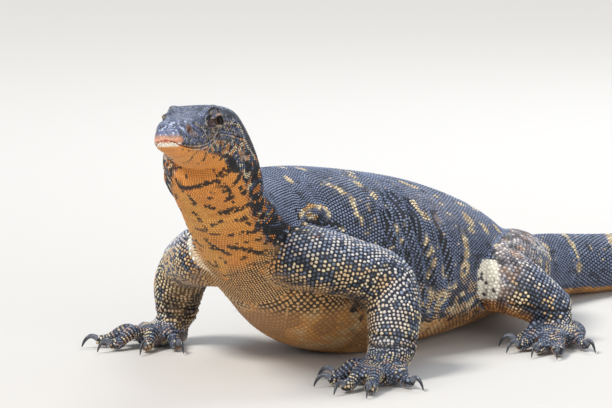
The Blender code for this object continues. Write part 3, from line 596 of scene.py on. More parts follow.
# Dark marks of the throat and neck: half width in millimetres, then places along each line in
# millimetres from the snout and degrees from the underside (left is positive)
THROAT_MARKS = (
    (0.5, (10, 58), (14, 40)), (0.5, (20, 55), (24, 45)), (0.55, (36, 55), (36, 31), (54, -10)),
    (0.7, (54, 45), (53, 39), (60, 10)), (0.8, (47, 60), (58, 28)), (0.9, (60, 60), (66, 44)),
    (1.0, (70, 55), (80, 40)), (1.2, (74, 62), (84, 50)), (1.4, (84, 58), (92, 46)),
    (0.8, (103, -47), (93, -22), (83, 0), (92, 12), (104, 19)), (3.6, (90, 52), (104, 46)),
    (3.0, (100, 45), (104, 27)), (2.2, (112, 50), (117, 38)), (2.0, (113, -38), (119, -32), (114, -11)),
    (2.1, (114, -11), (109, 4), (108, 16)), (1.7, (108, 16), (115, 24), (124, 28), (136, 33)),
    (1.3, (137, 0), (138, 3)), (1.0, (129, -17), (131, -15)), (0.9, (119, 7), (120, 8)),
    (0.9, (104, -22), (105, -21)), (1.6, (132, 23), (130, 31)), (2.3, (124, 44), (134, 52)),
    (2.6, (144, 15), (146, 40), (149, 60)), (2.4, (149, 60), (161, 74)), (1.9, (146, -20), (145, -13)),
    (2.1, (136, -1), (138, 5)), (1.3, (157, 2), (156, 6)), (1.0, (160, -10), (166, -8), (168, 7)),
    (1.5, (170, 22), (172, 40), (190, 78)), (1.4, (157, 35), (158, 38)),
    (1.9, (175, -14), (181, -6), (190, 9)), (2.1, (182, 19), (186, 26)),
    (2.1, (188, 31), (198, 41), (215, 60), (223, 73)), (1.5, (187, 50), (191, 55)),
    (1.1, (207, 25), (214, 43), (219, 58)), (0.9, (212, 20), (220, 26), (230, 33), (245, 49), (248, 56)),
    (2.0, (193, 71), (203, 82)), (0.8, (221, -28), (220, -14), (213, 10)), (1.6, (200, 60), (206, 68)),
    (1.2, (166, 50), (170, 56)), (1.6, (205, 84), (216, 92)), (1.4, (176, 64), (181, 70)),
)
# Cream spots of the flank: millimetres from the snout, degrees, half length and half height in millimetres
FLANK_SPOTS = (
    (239, 59, 2.4, 5), (261, 86, 1.6, 5), (276, 80, 2.4, 5), (281, 52, 2.4, 2.6), (286, 49, 2.4, 2.6),
    (289, 44, 2.4, 3.0), (294, 38, 2.2, 3.4), (294, 32, 2.1, 3.2), (294, 25, 1.9, 3.2), (297, 20, 1.8, 3.0),
    (334, 77, 3.4, 5), (323, 67, 3.0, 4), (316, 56, 3.0, 4.5), (322, 44, 2.7, 4.2), (338, 17, 1.6, 4),
    (341, 10, 1.8, 2), (370, 41, 3.6, 3.8), (369, 36, 2.2, 3.2), (374, 31, 3.4, 5.6), (368, 12, 1.5, 4.5),
    (373, 5, 1.5, 5), (378, -1, 1.4, 3), (376, -7, 1.6, 2.4), (381, -17, 2.4, 3.2), (395, 66, 3.4, 6),
    (400, 62, 3.8, 4), (417, 53, 2.0, 2.4), (411, 45, 1.9, 1.9), (411, 36, 1.6, 1.8), (420, 14, 3.2, 6.5),
    (421, 6, 3.8, 3.8), (391, -4, 2.4, 4.0), (402, -13, 2.2, 2.0), (410, -12, 2.4, 3.0),
    (426, -17, 3.0, 2.2), (452, 52, 4.6, 2.8), (440, 34, 5.0, 8.0), (435, 25, 3.4, 4.0),
    (375, -24, 2.0, 2.0), (388, -28, 2.2, 2.2), (465, 30, 4.0, 6.0), (470, 8, 4.0, 6.0), (486, 56, 4.0, 5.5),
    (500, 36, 4.0, 6.0), (505, 16, 3.6, 5.0),
)
SPOT_GROWTH = (1.28, 1.20)                    # over the sizes in the table
# Rings of the lower flank: millimetres from the snout, degrees, radius and half thickness in millimetres
FLANK_RINGS = (
    (420, -3, 4.6, 2.3), (398, -20, 4.4, 2.4), (424, -26, 3.2, 2.0), (450, -8, 4.2, 2.3),
    (446, -24, 3.6, 2.2),
)
# The fold over the shoulder: its pale rim, and near-black painted as the shadow in the hollow under it
FLAP_RIM = (
    (2.1, (232, 17), (239, 23), (243, 27), (252, 25), (258, 27), (264, 26), (267, 21)),
    (2.6, (233, 9), (235, 7)), (1.6, (241, 18), (254, 18)), (2.3, (278, 12), (279, 11)),
)
FLAP_HOLLOW_SHADOW = (
    (1.6, (238, 12), (249, 14), (264, 14), (273, 16)), (1.2, (273, 16), (284, 8), (292, 2)),
    (1.0, (228, 20), (232, 8)),
)
FIRST_RING, RING_PITCH = 0.530, 0.058         # metres from the snout, and from ring to ring of the tail
NECK_RING = ((0.9, (217, -6), (223, -7), (224, -13), (218, -15), (216, -10), (217, -6)),)


def path_distance(path, points):
    """Distance from each point to a line through a few places in space."""
    path = np.array(path)
    nearest = np.full(len(points), 9.0)
    for a, b in zip(path[:-1], path[1:]):
        t = np.clip((points - a) @ (b - a) / ((b - a) @ (b - a)), 0, 1)
        nearest = np.minimum(nearest, norm(points - a - t[:, None] * (b - a)))
    return nearest


def on_left(points):
    """The points, with those of the right side mirrored to the left."""
    return np.stack([points[:, 0], np.abs(points[:, 1]), points[:, 2]], 1)


def creases(points):
    """Share of a crease at the elbow, the wrists and the ankles."""
    near = on_left(points)
    share = bell(path_distance(ELBOW_FOLD, near) / 0.0019) * (points[:, 1] > 0)
    fore, hind = (near[:, 0] > -0.09) & (near[:, 1] > 0.09), (near[:, 0] < -0.20) & (near[:, 1] > 0.115)
    for levels, mask, middle in ((WRIST_LEVELS, fore, -0.035), (ANKLE_LEVELS, hind, -0.250)):
        for level in levels:
            wave = level + 0.0012 * np.sin(near[:, 0] / 0.006) + 0.16 * (near[:, 0] - middle)
            share = np.maximum(share, bell((points[:, 2] - wave) / 0.0013) * mask)
    return share


def white_patches(points):
    """Share of white: the stripe of the right shoulder and the patch in front of each thigh."""
    fine = noise(points, 0.0028, 21)
    wide = 0.0024 + 0.0022 * step(0.105, 0.085, points[:, 2]) + 0.0022 * (fine - 0.5)
    stripe = step(0.0008, -0.0004, path_distance(SHOULDER_STRIPE, points) - wide)
    near = on_left(points)
    across = (-0.616 * near[:, 0] + 0.788 * near[:, 1] - 0.2040) / 0.0098
    patch = across**4 + ((near[:, 2] - 0.0575) / 0.0172) ** 4 + ((near[:, 0] + 0.205) / 0.016) ** 4
    return np.maximum(stripe, step(1.2, 0.8, patch + 0.7 * (fine - 0.5)))


def pale_share(at, turn, points):
    """1 on the throat and belly, 0 on the dark upper side, ragged by noise between."""
    edge = table_value(PALE_EDGE, at)
    ragged = 7 * (noise(points, 0.007, 2) - 0.5) + 7 * (noise(points, 0.0026, 1) - 0.5)
    return step(edge + 2, edge - 2, turn + ragged * step(0.03, 0.05, at)), edge


def folded(degrees):
    """Angle over the horizontal of places round a section, alike on the left and the right."""
    return np.degrees(np.arctan2(np.sin(np.radians(degrees)), np.abs(np.cos(np.radians(degrees)))))


def body_colour(at, degrees, points):
    """Linear RGB of the head, neck, trunk and tail at these places, and of the skin between scales."""
    grain = partial(noise, points)
    side = np.where(np.cos(np.radians(degrees)) >= 0, 1.0, -1.0)
    turn = folded(degrees)
    radius = smooth(SPINE.at, SPINE.rows[:, 3], at)
    fine, mid, wide = grain(0.0026, 1), grain(0.007, 2), grain(0.022, 3)
    drawn_out = points * np.array([1.0, 1.0, 0.6])
    ragged = 1.5 * (grain(0.0028, 31) - 0.5) + 1.1 * (grain(0.0012, 32) - 0.5)

    def marks(lines, at=at, level=turn):
        """Share of a drawn mark's colour, with ragged edges."""
        return step(0.35, -0.25, lines_away(lines, at, level, radius, ragged))

    colour = painted(
        "slate",
        ("slate_light", 0.40 * wide + 0.45 * (fine - 0.3).clip(0)),
        ("black", 0.80 * step(0.55, 0.80, mid) * step(0.3, 0.7, fine)),
    )
    below, edge = pale_share(at, turn, points)
    throat = painted(
        "orange",
        ("#e8ac55", 0.7 * step(0.35, 0.8, wide)),
        ("#c57738", 0.5 * step(0.6, 0.9, mid)),
    )
    belly = painted(
        "tan",
        ("#9a7048", 0.65 * step(0.52, 0.62, wide) + 0.10 * fine),
        ("#d2b283", 0.7 * step(0.56, 0.36, wide) * step(0.25, 0.55, mid)),
    )
    colour = mix(colour, mix(throat, belly, step(0.195, 0.245, at + 0.0007 * (turn + 60))), below)
    # black mottled with orange over the edge of the throat
    reach = table_value(MOTTLE_REACH, at)
    climb = np.clip((turn - edge) / np.maximum(reach, 1), 0, 1.2)
    zone = step(1.15, 0.85, climb) * (reach > 2) * (1 - below)
    warm = step(0.44 + 0.24 * climb, 0.52 + 0.24 * climb, 0.6 * noise(drawn_out, 0.0045, 14) + 0.4 * fine)
    mottled = painted(
        "black",
        ("#cf8038", warm),
        ("#56627c", step(0.58, 0.68, grain(0.005, 15)) * (1 - warm) * 0.9),
        ("cream", step(0.72, 0.80, grain(0.0035, 13)) * 0.8),
    )
    # the lower flank: specks of tan, rings of cream
    flank = step(edge + 30, edge + 16, turn) * (1 - below) * step(0.35, 0.37, at) * step(0.62, 0.58, at)
    speck = step(0.53, 0.59, noise(drawn_out, 0.0058, 5)) * step(0.15, 0.4, fine)
    freckle = step(0.64, 0.70, grain(0.0058, 6)) * below * step(edge - 26, edge - 4, turn)
    spots = back_spots(at, turn, side, points, radius)
    low = np.where(side > 0, 90 + turn, -(90 + turn))
    other = marks(THROAT_MARKS, at - 0.006, -low) * step(-40, -50, low) * step(0.205, 0.19, at)
    dots = step(0.74, 0.79, grain(0.0052, 8)) * step(0.105, 0.12, at) * step(0.25, 0.22, at) * below
    dark = np.maximum(np.maximum(marks(THROAT_MARKS, level=low), other), dots * 0.9) * (at < 0.30)
    colour = painted(
        colour,
        (mottled, zone),
        ("#43352f", 0.55 * flank * step(0.35, 0.60, mid)),
        ("#d8b78e", 0.9 * speck * flank),
        ("#38281a", 0.9 * freckle * (at > 0.30) * (at < 0.62)),
        (mix("cream", "#b9a07c", step(0.35, 0.75, grain(0.004, 16))), spots),
        ("black", dark * step(0.74, 0.66, grain(0.0017, 33)) * 0.94),
    )
    # painted shade: the troughs of the flank folds are darkened, as if shade fell in them
    fold_trough_shade = marks(FLANK_FOLDS) * (at > 0.30) * (at < 0.41)
    rim, white = marks(FLAP_RIM), white_patches(points)
    colour = painted(
        colour * (1 - 0.62 * fold_trough_shade)[:, None],
        (mix("#ead9b4", "#b58a55", step(0.45, 0.7, fine)), rim),
        ("#b9bfcd", marks(NECK_RING) * 0.9),
        # near-black painted as the shadow in the hollow under the shoulder fold
        ("#08080a", marks(FLAP_HOLLOW_SHADOW) * 0.95),
        (chalk(points), white),
    )
    bright = np.maximum(np.maximum(0.9 * spots, rim), 1.4 * white)
    colour = face_colour(colour, at, turn, side, points, fine, mid, radius, marks)
    # dark skin between paler scales where the forelegs join the chest
    armpit = step(0.046, 0.030, path_distance(ARMPIT, on_left(points)))
    armpit = armpit * below * step(0.20, 0.215, at) * step(0.45, 0.60, 0.5 * fine + 0.5 * mid + 0.25 * armpit)
    colour = mix(colour, "#dcae74", 0.6 * armpit)
    warm_skin = step(0.06, 0.22, colour[:, 0] - colour[:, 2]) * below * (1 - 0.9 * armpit)
    ground = mix("#0b0c10", mix(colour * 0.62, colour * 0.72, step(0.21, 0.26, at)), warm_skin)
    ground = mix(ground, colour * 0.9, step(0.022, 0.016, at) * step(0.2, 0.4, colour[:, 0]))
    return colour, mix(ground, colour * 0.5, bright * (at > 0.15))


def chalk(points):
    """White with grey flecks, for the patches of the shoulder and thighs."""
    return mix("#f3ecdc", "#4a4346", step(0.76, 0.80, noise(points, 0.0034, 25)))


def back_spots(at, turn, side, points, radius):
    """Share of cream: the spots and rings of the flank, then clusters in cross rows down the tail."""
    rng = np.random.default_rng(11)
    ragged = noise(points, 0.0030, 9)
    grade = radius * 1000 * math.pi / 180
    share = np.zeros(len(at))
    for hand in (1, -1):
        for x, level, long, tall in FLANK_SPOTS:
            long, tall = SPOT_GROWTH[0] * long, SPOT_GROWTH[1] * tall
            if hand < 0:
                x, level = x + rng.normal(0, 3.0), level + rng.normal(0, 3.0)
            far = ((at * 1000 - x) / long) ** 2 + ((turn - level) * grade / tall) ** 2
            share = np.maximum(share, step(1.5, 0.8, far + 0.9 * (ragged - 0.5)) * (side == hand))
        for x, level, round_, thick in FLANK_RINGS:
            far = np.hypot(at * 1000 - x, (turn - level) * grade * 0.85)
            ring = step(thick * 1.2, thick * 0.7, np.abs(far - round_) + ragged - 0.5)
            share = np.maximum(share, ring * (side == hand))
    for centre in [FIRST_RING + RING_PITCH * i for i in range(20)]:
        girth = float(smooth(SPINE.at, SPINE.rows[:, 3], [centre])[0]) * math.pi / 180
        for hand in (1, -1):
            for level in np.linspace(80, 2, 4):
                place, high = centre + rng.normal(0, 0.004), level + rng.normal(0, 4.0)
                tall, long = rng.uniform(0.0038, 0.0075), rng.uniform(0.0022, 0.0044)
                far = ((at - place) / long) ** 2 + ((turn - high) * girth / tall) ** 2
                share = np.maximum(share, step(1.5, 0.75, far + 0.9 * (ragged - 0.5)) * (side == hand))
    crumbs = step(0.84, 0.87, noise(points, 0.0045, 10)) * (at > 0.27) * step(0.9, 0.8, at) * (turn > -10)
    return np.maximum(share, 0.6 * crumbs)


# Ring of the lids, from the rim outwards: metres from the rim, height over the eyeball, share of the
# head's own surface, and height over that
LID_PROFILE = (
    (0.0009, 0.00005, 0, 0), (0.0002, 0.00015, 0, 0), (0.0, 0.0009, 0, 0), (0.0003, 0.0016, 0, 0),
    (0.0009, 0.00195, 0, 0), (0.0016, 0.0019, 0, 0), (0.0024, 0.00185, 0.05, 0),
    (0.0032, 0.00185, 0.2, 0.0001), (0.0040, 0.0018, 0.42, 0.0002), (0.0048, 0.0018, 0.68, 0.0003),
    (0.0056, 0.0018, 0.90, 0.0002), (0.0064, 0.0018, 1, 0), (0.0072, 0.001, 1, -0.0011),
    (0.0072, -0.003, 1, -0.004), (0.0040, -0.003, 0, 0),
)
# Lines of the face: half width, then millimetres from the snout and degrees over the mouth line
BROW_LINES = ((0.8, (51, 38), (60, 42), (75, 46), (83, 40), (88, 31)), (1.2, (76, 30), (84, 34), (92, 26)))
PALE_LINES = (
    (0.8, (73, 18), (81, 17), (88, 16), (92, 10), (95, 2), (102, -3), (112, -8)),
    (0.6, (33, 36), (40, 24), (52, 18)),
)
BEHIND_LINES = ((1.5, (94, 14), (100, 6), (108, 0), (120, -4)), (1.4, (92, 22), (104, 14), (114, 6)))


def face_colour(colour, at, turn, side, points, fine, mid, radius, marks):
    """Paints the head: pink snout, barred lips, streaked cheek, blue crown, pale stripe, dark temple."""
    grain = partial(noise, points)
    local = (points - SNOUT) @ TURN
    slant = local @ np.array([[0.50, 0, -0.85], [0, 1, 0], [1.9, 0, 1.1]])
    forward, rise = local[:, 0] * 1000, local[:, 2] * 1000
    head = step(0.104, 0.092, at)
    lips = lips_at(at)
    over, under = step(lips - 0.5, lips + 0.5, turn), step(lips + 0.5, lips - 0.5, turn)
    crumb, streak, curl = grain(0.0013, 17), noise(slant, 0.0024, 12), noise(slant, 0.0036, 13)
    crown = painted(
        "crown",
        # pale specks on the plates: partly the crown's own mottling, partly painted highlights on them
        ("#c6d0e6", step(0.42, 0.80, crumb) * 0.8),
        ("#2a3040", step(0.60, 0.76, fine) * 0.65),
        ("#b7b2b0", step(0.72, 0.85, mid) * 0.5),
    )
    edge = 30 + 8 * step(0.040, 0.052, at) - 16 * step(0.024, 0.006, at)
    above = step(edge - 3, edge + 3, turn + 8 * (mid - 0.5))
    # cheek between lips and crown, with lines that run down and back
    cheek = painted(
        "#5d6a94",
        ("#16171e", step(0.48, 0.58, streak)),
        ("#d8cdb8", bell((curl - 0.5) / 0.045) * step(0.2, 0.45, crumb) * 0.9),
        ("#a3aec8", step(0.60, 0.8, crumb) * 0.5),
        ("#9a6a40", step(0.64, 0.78, mid) * 0.30),
    )
    # upper lip: bars, warm towards the mouth and the snout
    lip = painted(
        "#a08a78",
        ("#33303a", step(-0.2, 0.3, np.sin(at / 0.0040 * 2 * math.pi)) * 0.8),
        ("#c9854a", step(lips + 9, lips + 2, turn) * step(0.048, 0.030, at) * 0.8),
    )
    # side of the lower jaw behind the lip: slate with black, orange and cream grains
    jaw = painted(
        "#56627e",
        ("#0f1014", step(0.44, 0.52, grain(0.0017, 18))),
        ("#cf8f48", step(0.50, 0.58, noise(points * np.array([1.0, 1.0, 0.55]), 0.0021, 19)) * 0.9),
        ("#e3d6b4", step(0.66, 0.74, grain(0.0015, 34)) * 0.85),
    )
    chin = head * under * step(-44, -32, turn) * step(0.052, 0.044, at) * step(0.004, 0.012, at)
    rim = step(2.6, 1.2, np.abs(turn - lips) * radius * 1000 * math.pi / 180) * head * step(0.022, 0.032, at)
    pinkish = np.exp(-(((at - 0.0415) / 0.0032) ** 2) - ((turn - lips + 7) / 6) ** 2)
    # eye socket, brow, pale stripe
    centre = np.where(side[:, None] > 0, eye_centre(1), eye_centre(-1))
    ring = step(0.0150, 0.0120, norm(points - centre))
    ahead, _, high = ((points - centre) @ TURN).T
    front = step(-0.002, 0.008, ahead) * step(0.006, 0.001, high)
    socket = painted(
        "#525e80",
        ("#14151a", step(0.44, 0.54, noise(slant, 0.0019, 20))),
        ("#c9bba2", step(0.56, 0.66, noise(slant, 0.0017, 36)) * 0.75),
        ("#8a5730", front * step(0.55, 0.66, grain(0.0018, 35)) * 0.7),
    )
    temple = step(27, 31, turn) * step(50, 44, turn) * step(0.076, 0.080, at) * step(0.106, 0.098, at)
    nape = step(0.094, 0.102, at) * step(0.130, 0.112, at) * step(-4, 6, turn) * step(40, 28, turn)
    # tip of the snout by place, because angles crowd together there
    behind = step(0.004, 0.010, at)
    tip = step(-9.0, -5.5, forward)
    uneven = rise + 2.2 * (crumb - 0.5) + 1.6 * (fine - 0.5)
    colour = painted(
        colour,
        (crown, head * above),
        (cheek, head * (1 - above) * over * behind),
        (lip, head * over * step(lips + 15, lips + 9, turn) * step(0.072, 0.060, at) * behind),
        (jaw, head * under * step(-38, -30, turn + 12 * (mid - 0.5)) * step(0.041, 0.050, at)),
        ("#b06f3a", chin * step(0.4, 0.7, fine) * 0.7),
        (mix("#7a85a3", "#c9b08c", step(0.45, 0.60, grain(0.0021, 37))),
         rim * step(MOUTH_LENGTH, MOUTH_LENGTH - 0.012, at) * 0.75),
        ("#dcb49c", pinkish * 0.9),
        (socket, ring * 0.9),
        ("#101116", marks(BROW_LINES) * 0.92),
        ("#1c2029", temple * 0.5),
        (mix("#101015", "#a87c46", step(0.5, 0.62, streak)), nape * 0.85),
        ("#0d0d11", marks(BEHIND_LINES) * 0.95),
        ("#dccaa4", marks(PALE_LINES) * step(0.2, 0.4, fine)),
        (crown, step(-14, -8, forward) * step(3.0, 4.2, rise)),
        ("#b98a68", tip * step(5.2, 3.2, uneven) * step(-1.8, -1.0, rise) * 0.85),
        ("pink", tip * step(3.2, 1.6, uneven) * step(-1.8, -1.0, rise)),
        # a paler pink streak along the upper lip near the tip, a painted highlight
        ("#f0bfa6", tip * bell((uneven - 1.6) / 0.9) * step(-7, -4, forward) * 0.6),
        ("#d08a48", step(-13, -8, forward) * step(-4.6, -6.0, rise) * 0.6),
        ("#f4e9d8", step(-7.2, -4.2, forward) * step(-5.0, -4.0, rise) * step(-1.2, -1.8, rise)),
    )
    for hand in (1, -1):
        ear, hole = ear_distance(points, hand), norm(points - nostril(hand))
        bump = norm(points - on_head(0.175, 0.110 * hand, 0.045))
        # the near-black middles of each ear and nostril are painted shade in their openings; the rings round
        # them are their own colours
        colour = painted(
            colour,
            ("#cdb8a6", step(0.0050, 0.0042, ear) * step(0.3, 0.45, fine)),
            ("#6d5546", step(0.0032, 0.0024, ear)),
            ("#2a1d17", step(0.0021, 0.0012, ear) * 0.9),
            ("#94602f", step(0.0048, 0.0034, hole) * 0.75),
            ("#2a1a12", step(0.0023, 0.0012, hole)),
            ("#b9a1a4", step(0.0040, 0.0020, bump) * 0.6),
        )
    return colour


def leg_colour(kind, share, normal, points, beads):
    """Linear RGB of a leg's scales and of the skin between: cream beads on slate, flesh beneath.

    share is the place down the leg, and beads a random number for each scale.
    """
    grain = partial(noise, points)
    side = LEGS[kind]["side"]
    fine, mid = grain(0.0028, 21), grain(0.008, 22)
    # painted light: where the leg faces up, the slate of its scales and the skin between are lighter and its
    # beads whiter, as painted light and highlight
    lit = step(-0.1, 0.7, normal[:, 2])
    colour = mix("#333b4d", "#9aa6c0", (0.25 + 0.65 * lit) * step(0.1, 0.7, fine))
    bead = painted("cream", ("#cf9f66", step(0.35, 0.65, mid) * 0.6), ("#d9dce4", step(0.25, 0.9, lit) * 0.7))
    under = step(0.05, 0.60, -0.80 * normal[:, 2] - 0.55 * normal[:, 1] * side)
    ground = mix("#0b0c10", "#262e40", lit * 0.8)
    if kind.startswith("fore"):
        warm = step(0.062, 0.040, points[:, 1] * side) * step(-0.02, 0.0, points[:, 0])
        warm = warm * step(-0.1, 0.6, normal[:, 0])
        ahead = 0.616 * normal[:, 0] - 0.788 * normal[:, 1] * side
        likely = 0.42 + 0.22 * step(0.30, 0.62, share) + 0.16 * step(0.0, 0.8, normal[:, 0])
        likely = likely + 0.5 * (mid - 0.5) + 0.22 * ahead * step(0.45, 0.60, share)
        band = np.exp(-(((points[:, 2] - 0.0318) / 0.0026) ** 4)) * step(0.25, 0.4, fine)
        colour = painted(
            colour,
            (mix(bead, "#d0924c", warm * 0.85), (beads < likely) * (0.75 + 0.25 * fine)),
            ("#a98f86", band * 0.6),
        )
        flesh = mix("#b98d58", "#3c2e24", step(0.50, 0.66, mid))
        under = under * (0.80 if side > 0 else 0.55)
    else:
        blots = step(0.60, 0.64, grain(0.0062, 24)) * (beads < 0.9)
        knee = step(0.80, 0.66, share) * step(-0.30, 0.15, normal[:, 0] + 0.4 * normal[:, 2])
        dull = painted(
            "#8f8a93",
            ("#e0d6cf", step(0.40, 0.75, fine)),
            ("#26252b", step(0.55, 0.68, mid) * 0.8),
            ("#c08a58", step(0.60, 0.70, grain(0.006, 28)) * 0.5),
        )
        colour = painted(colour, (bead, np.maximum(blots, beads < 0.10)), (dull, knee * 0.95))
        ground = mix(ground, dull * 0.35, knee)
        flesh = mix("#d0914f", "#96623a", step(0.55, 0.70, mid))
    white, pale = white_patches(points), chalk(points)
    colour = painted(colour, (flesh, under), (pale, white))
    ground = painted(ground, (flesh * 0.45, under), (pale * 0.7, white))
    # painted shade: darker in the creases of the elbow, the wrists and the ankles
    dark = 1 - 0.85 * creases(points)[:, None]
    return colour * dark, ground * dark


def ear_distance(points, side):
    """Distance from the middle of an ear, measured so that its tall oval counts as a circle."""
    middle = body_surface(EAR_BACK * HEAD, EAR_ANGLE if side > 0 else 180 - EAR_ANGLE)
    x, y, z = np.moveaxis((points - middle) @ TURN, -1, 0)
    return np.sqrt((x * 1.9 + z * 0.35) ** 2 + y**2 + (z * 0.95) ** 2)


# Meshes

def put_points(mesh, points):
    mesh.vertices.foreach_set("co", (points - OFFSET).astype(np.float32).ravel())
    mesh.update()


def placed(name, data):
    """A new object of this name and data, in the scene."""
    made = bpy.data.objects.new(name, data)
    bpy.context.scene.collection.objects.link(made)
    return made


def put_tint(mesh, colours):
    layer = mesh.color_attributes.new("tint", "FLOAT_COLOR", "POINT")
    full = np.concatenate([np.clip(colours, 0, 1), np.ones((len(colours), 1))], axis=1)
    layer.data.foreach_set("color", full.astype(np.float32).ravel())


def new_mesh(name, points, faces, colours=None, uvs=None):
    """An object from arrays: faces has one row of corners for each polygon, all of one length."""
    mesh = bpy.data.meshes.new(name)
    sides = faces.shape[1]
    mesh.vertices.add(len(points))
    put_points(mesh, points)
    mesh.loops.add(faces.size)
    mesh.loops.foreach_set("vertex_index", faces.astype(np.int32).ravel())
    mesh.polygons.add(len(faces))
    mesh.polygons.foreach_set("loop_start", np.arange(0, faces.size, sides, dtype=np.int32))
    mesh.polygons.foreach_set("use_smooth", np.ones(len(faces), bool))
    mesh.update(calc_edges=True)
    mesh.validate()
    if colours is not None:
        put_tint(mesh, colours)
    if uvs is not None:
        layer = mesh.uv_layers.new(name="OFBake")
        layer.data.foreach_set("uv", uvs[faces.ravel()].astype(np.float32).ravel())
    return placed(name, mesh)


def grid_faces(rows, columns):
    """Quads between neighbouring rows and columns of a grid of points that closes round its columns."""
    i, j = np.meshgrid(np.arange(rows - 1), np.arange(columns), indexing="ij")
    here, beside = i * columns + j, i * columns + (j + 1) % columns
    return np.stack([here, beside, beside + columns, here + columns], -1).reshape(-1, 4)


def halves(quad):
    """Each quad as two triangles."""
    return np.concatenate([quad[:, [0, 1, 2]], quad[:, [0, 2, 3]]])


def closed_tube(grid):
    """Points and triangles of a tube whose two ends are drawn to the middles of their rings."""
    rows, columns = grid.shape[:2]
    points = np.concatenate([grid.reshape(-1, 3), [grid[0].mean(0)], [grid[-1].mean(0)]])
    j = np.arange(columns)
    k = (j + 1) % columns
    first = np.stack([k, j, np.full(columns, rows * columns)], 1)
    last = np.stack([j, k, np.full(columns, columns + 1)], 1) + (rows - 1) * columns
    return points, np.concatenate([halves(grid_faces(rows, columns)), first, last])


def outward(points, faces):
    """The faces, turned over if their closed surface has a negative volume."""
    a, b, c = (points[faces[:, i]] - points.mean(axis=0) for i in range(3))
    return faces if np.sum(a * np.cross(b, c)) > 0 else faces[:, ::-1]


def grid_normals(grid):
    """Normals of a grid of points that closes round its columns."""
    return unit(np.cross(np.gradient(grid, axis=0), np.roll(grid, -1, axis=1) - np.roll(grid, 1, axis=1)))


def arrays(mesh):
    points = np.empty(len(mesh.vertices) * 3, np.float32)
    mesh.vertices.foreach_get("co", points)
    normals = np.empty(len(mesh.vertices) * 3, np.float32)
    mesh.vertices.foreach_get("normal", normals)
    return points.reshape(-1, 3).astype(float) + OFFSET, normals.reshape(-1, 3).astype(float)


def relax(points, edges, weight, rounds):
    """Moves each point towards the mean of its neighbours, by its weight, this many times."""
    count = np.bincount(edges.ravel(), minlength=len(points)).clip(1)[:, None]
    both = np.concatenate([edges, edges[:, ::-1]])
    for _ in range(rounds):
        total = np.stack([np.bincount(both[:, 0], points[both[:, 1], i], len(points)) for i in range(3)], 1)
        points = points + (total / count - points) * weight[:, None]
    return points


def snapped(roots, target):
    """Nearest points on the target and its outward normals there, by two Shrinkwrap modifiers."""
    results = []
    for mode, gap in (("ON_SURFACE", 0.0), ("ABOVE_SURFACE", 0.001)):
        mesh = bpy.data.meshes.new("roots")
        mesh.vertices.add(len(roots))
        put_points(mesh, roots)
        holder = placed("roots", mesh)
        wrap = holder.modifiers.new("wrap", "SHRINKWRAP")
        wrap.target = target
        wrap.wrap_method = "NEAREST_SURFACEPOINT"
        wrap.wrap_mode = mode
        wrap.offset = gap
        bpy.context.view_layer.update()
        done = holder.evaluated_get(bpy.context.evaluated_depsgraph_get()).to_mesh()
        results.append(arrays(done)[0])
        bpy.data.objects.remove(holder, do_unlink=True)
    return results[0], unit(results[1] - results[0])


# Scales

SCALE_SIDES = 6
SCALE_TIP = 2 * SCALE_SIDES                   # index of the tip, the last point of a scale
SCALE_SUNK = 0.00035                          # how far a scale's foot lies under its root
PATCH = 0.003                                 # width of a scale's patch on the unwrap


def scale_template(sides, flat):
    """Outline, height and faces of one scale: two rings and a tip, closed underneath.

    flat is the share of the outline that the upper ring keeps.
    """
    angle = np.arange(sides) / sides * 2 * math.pi + math.pi / sides
    ring = np.stack([np.cos(angle), np.sin(angle)], 1)
    shape = np.concatenate([ring, ring * flat, [[0.0, 0.0]]])
    height = np.concatenate([np.zeros(sides), np.full(sides, 0.78), [1.0]])
    j = np.arange(sides)
    k = (j + 1) % sides
    wall = np.concatenate([np.stack([j, k, k + sides], 1), np.stack([j, k + sides, j + sides], 1)])
    cap = np.stack([j + sides, k + sides, np.full(sides, 2 * sides)], 1)
    base = np.stack([np.zeros(sides - 2, int), j[2:], j[1:-1]], 1)
    return shape, height, np.concatenate([wall, cap, base])


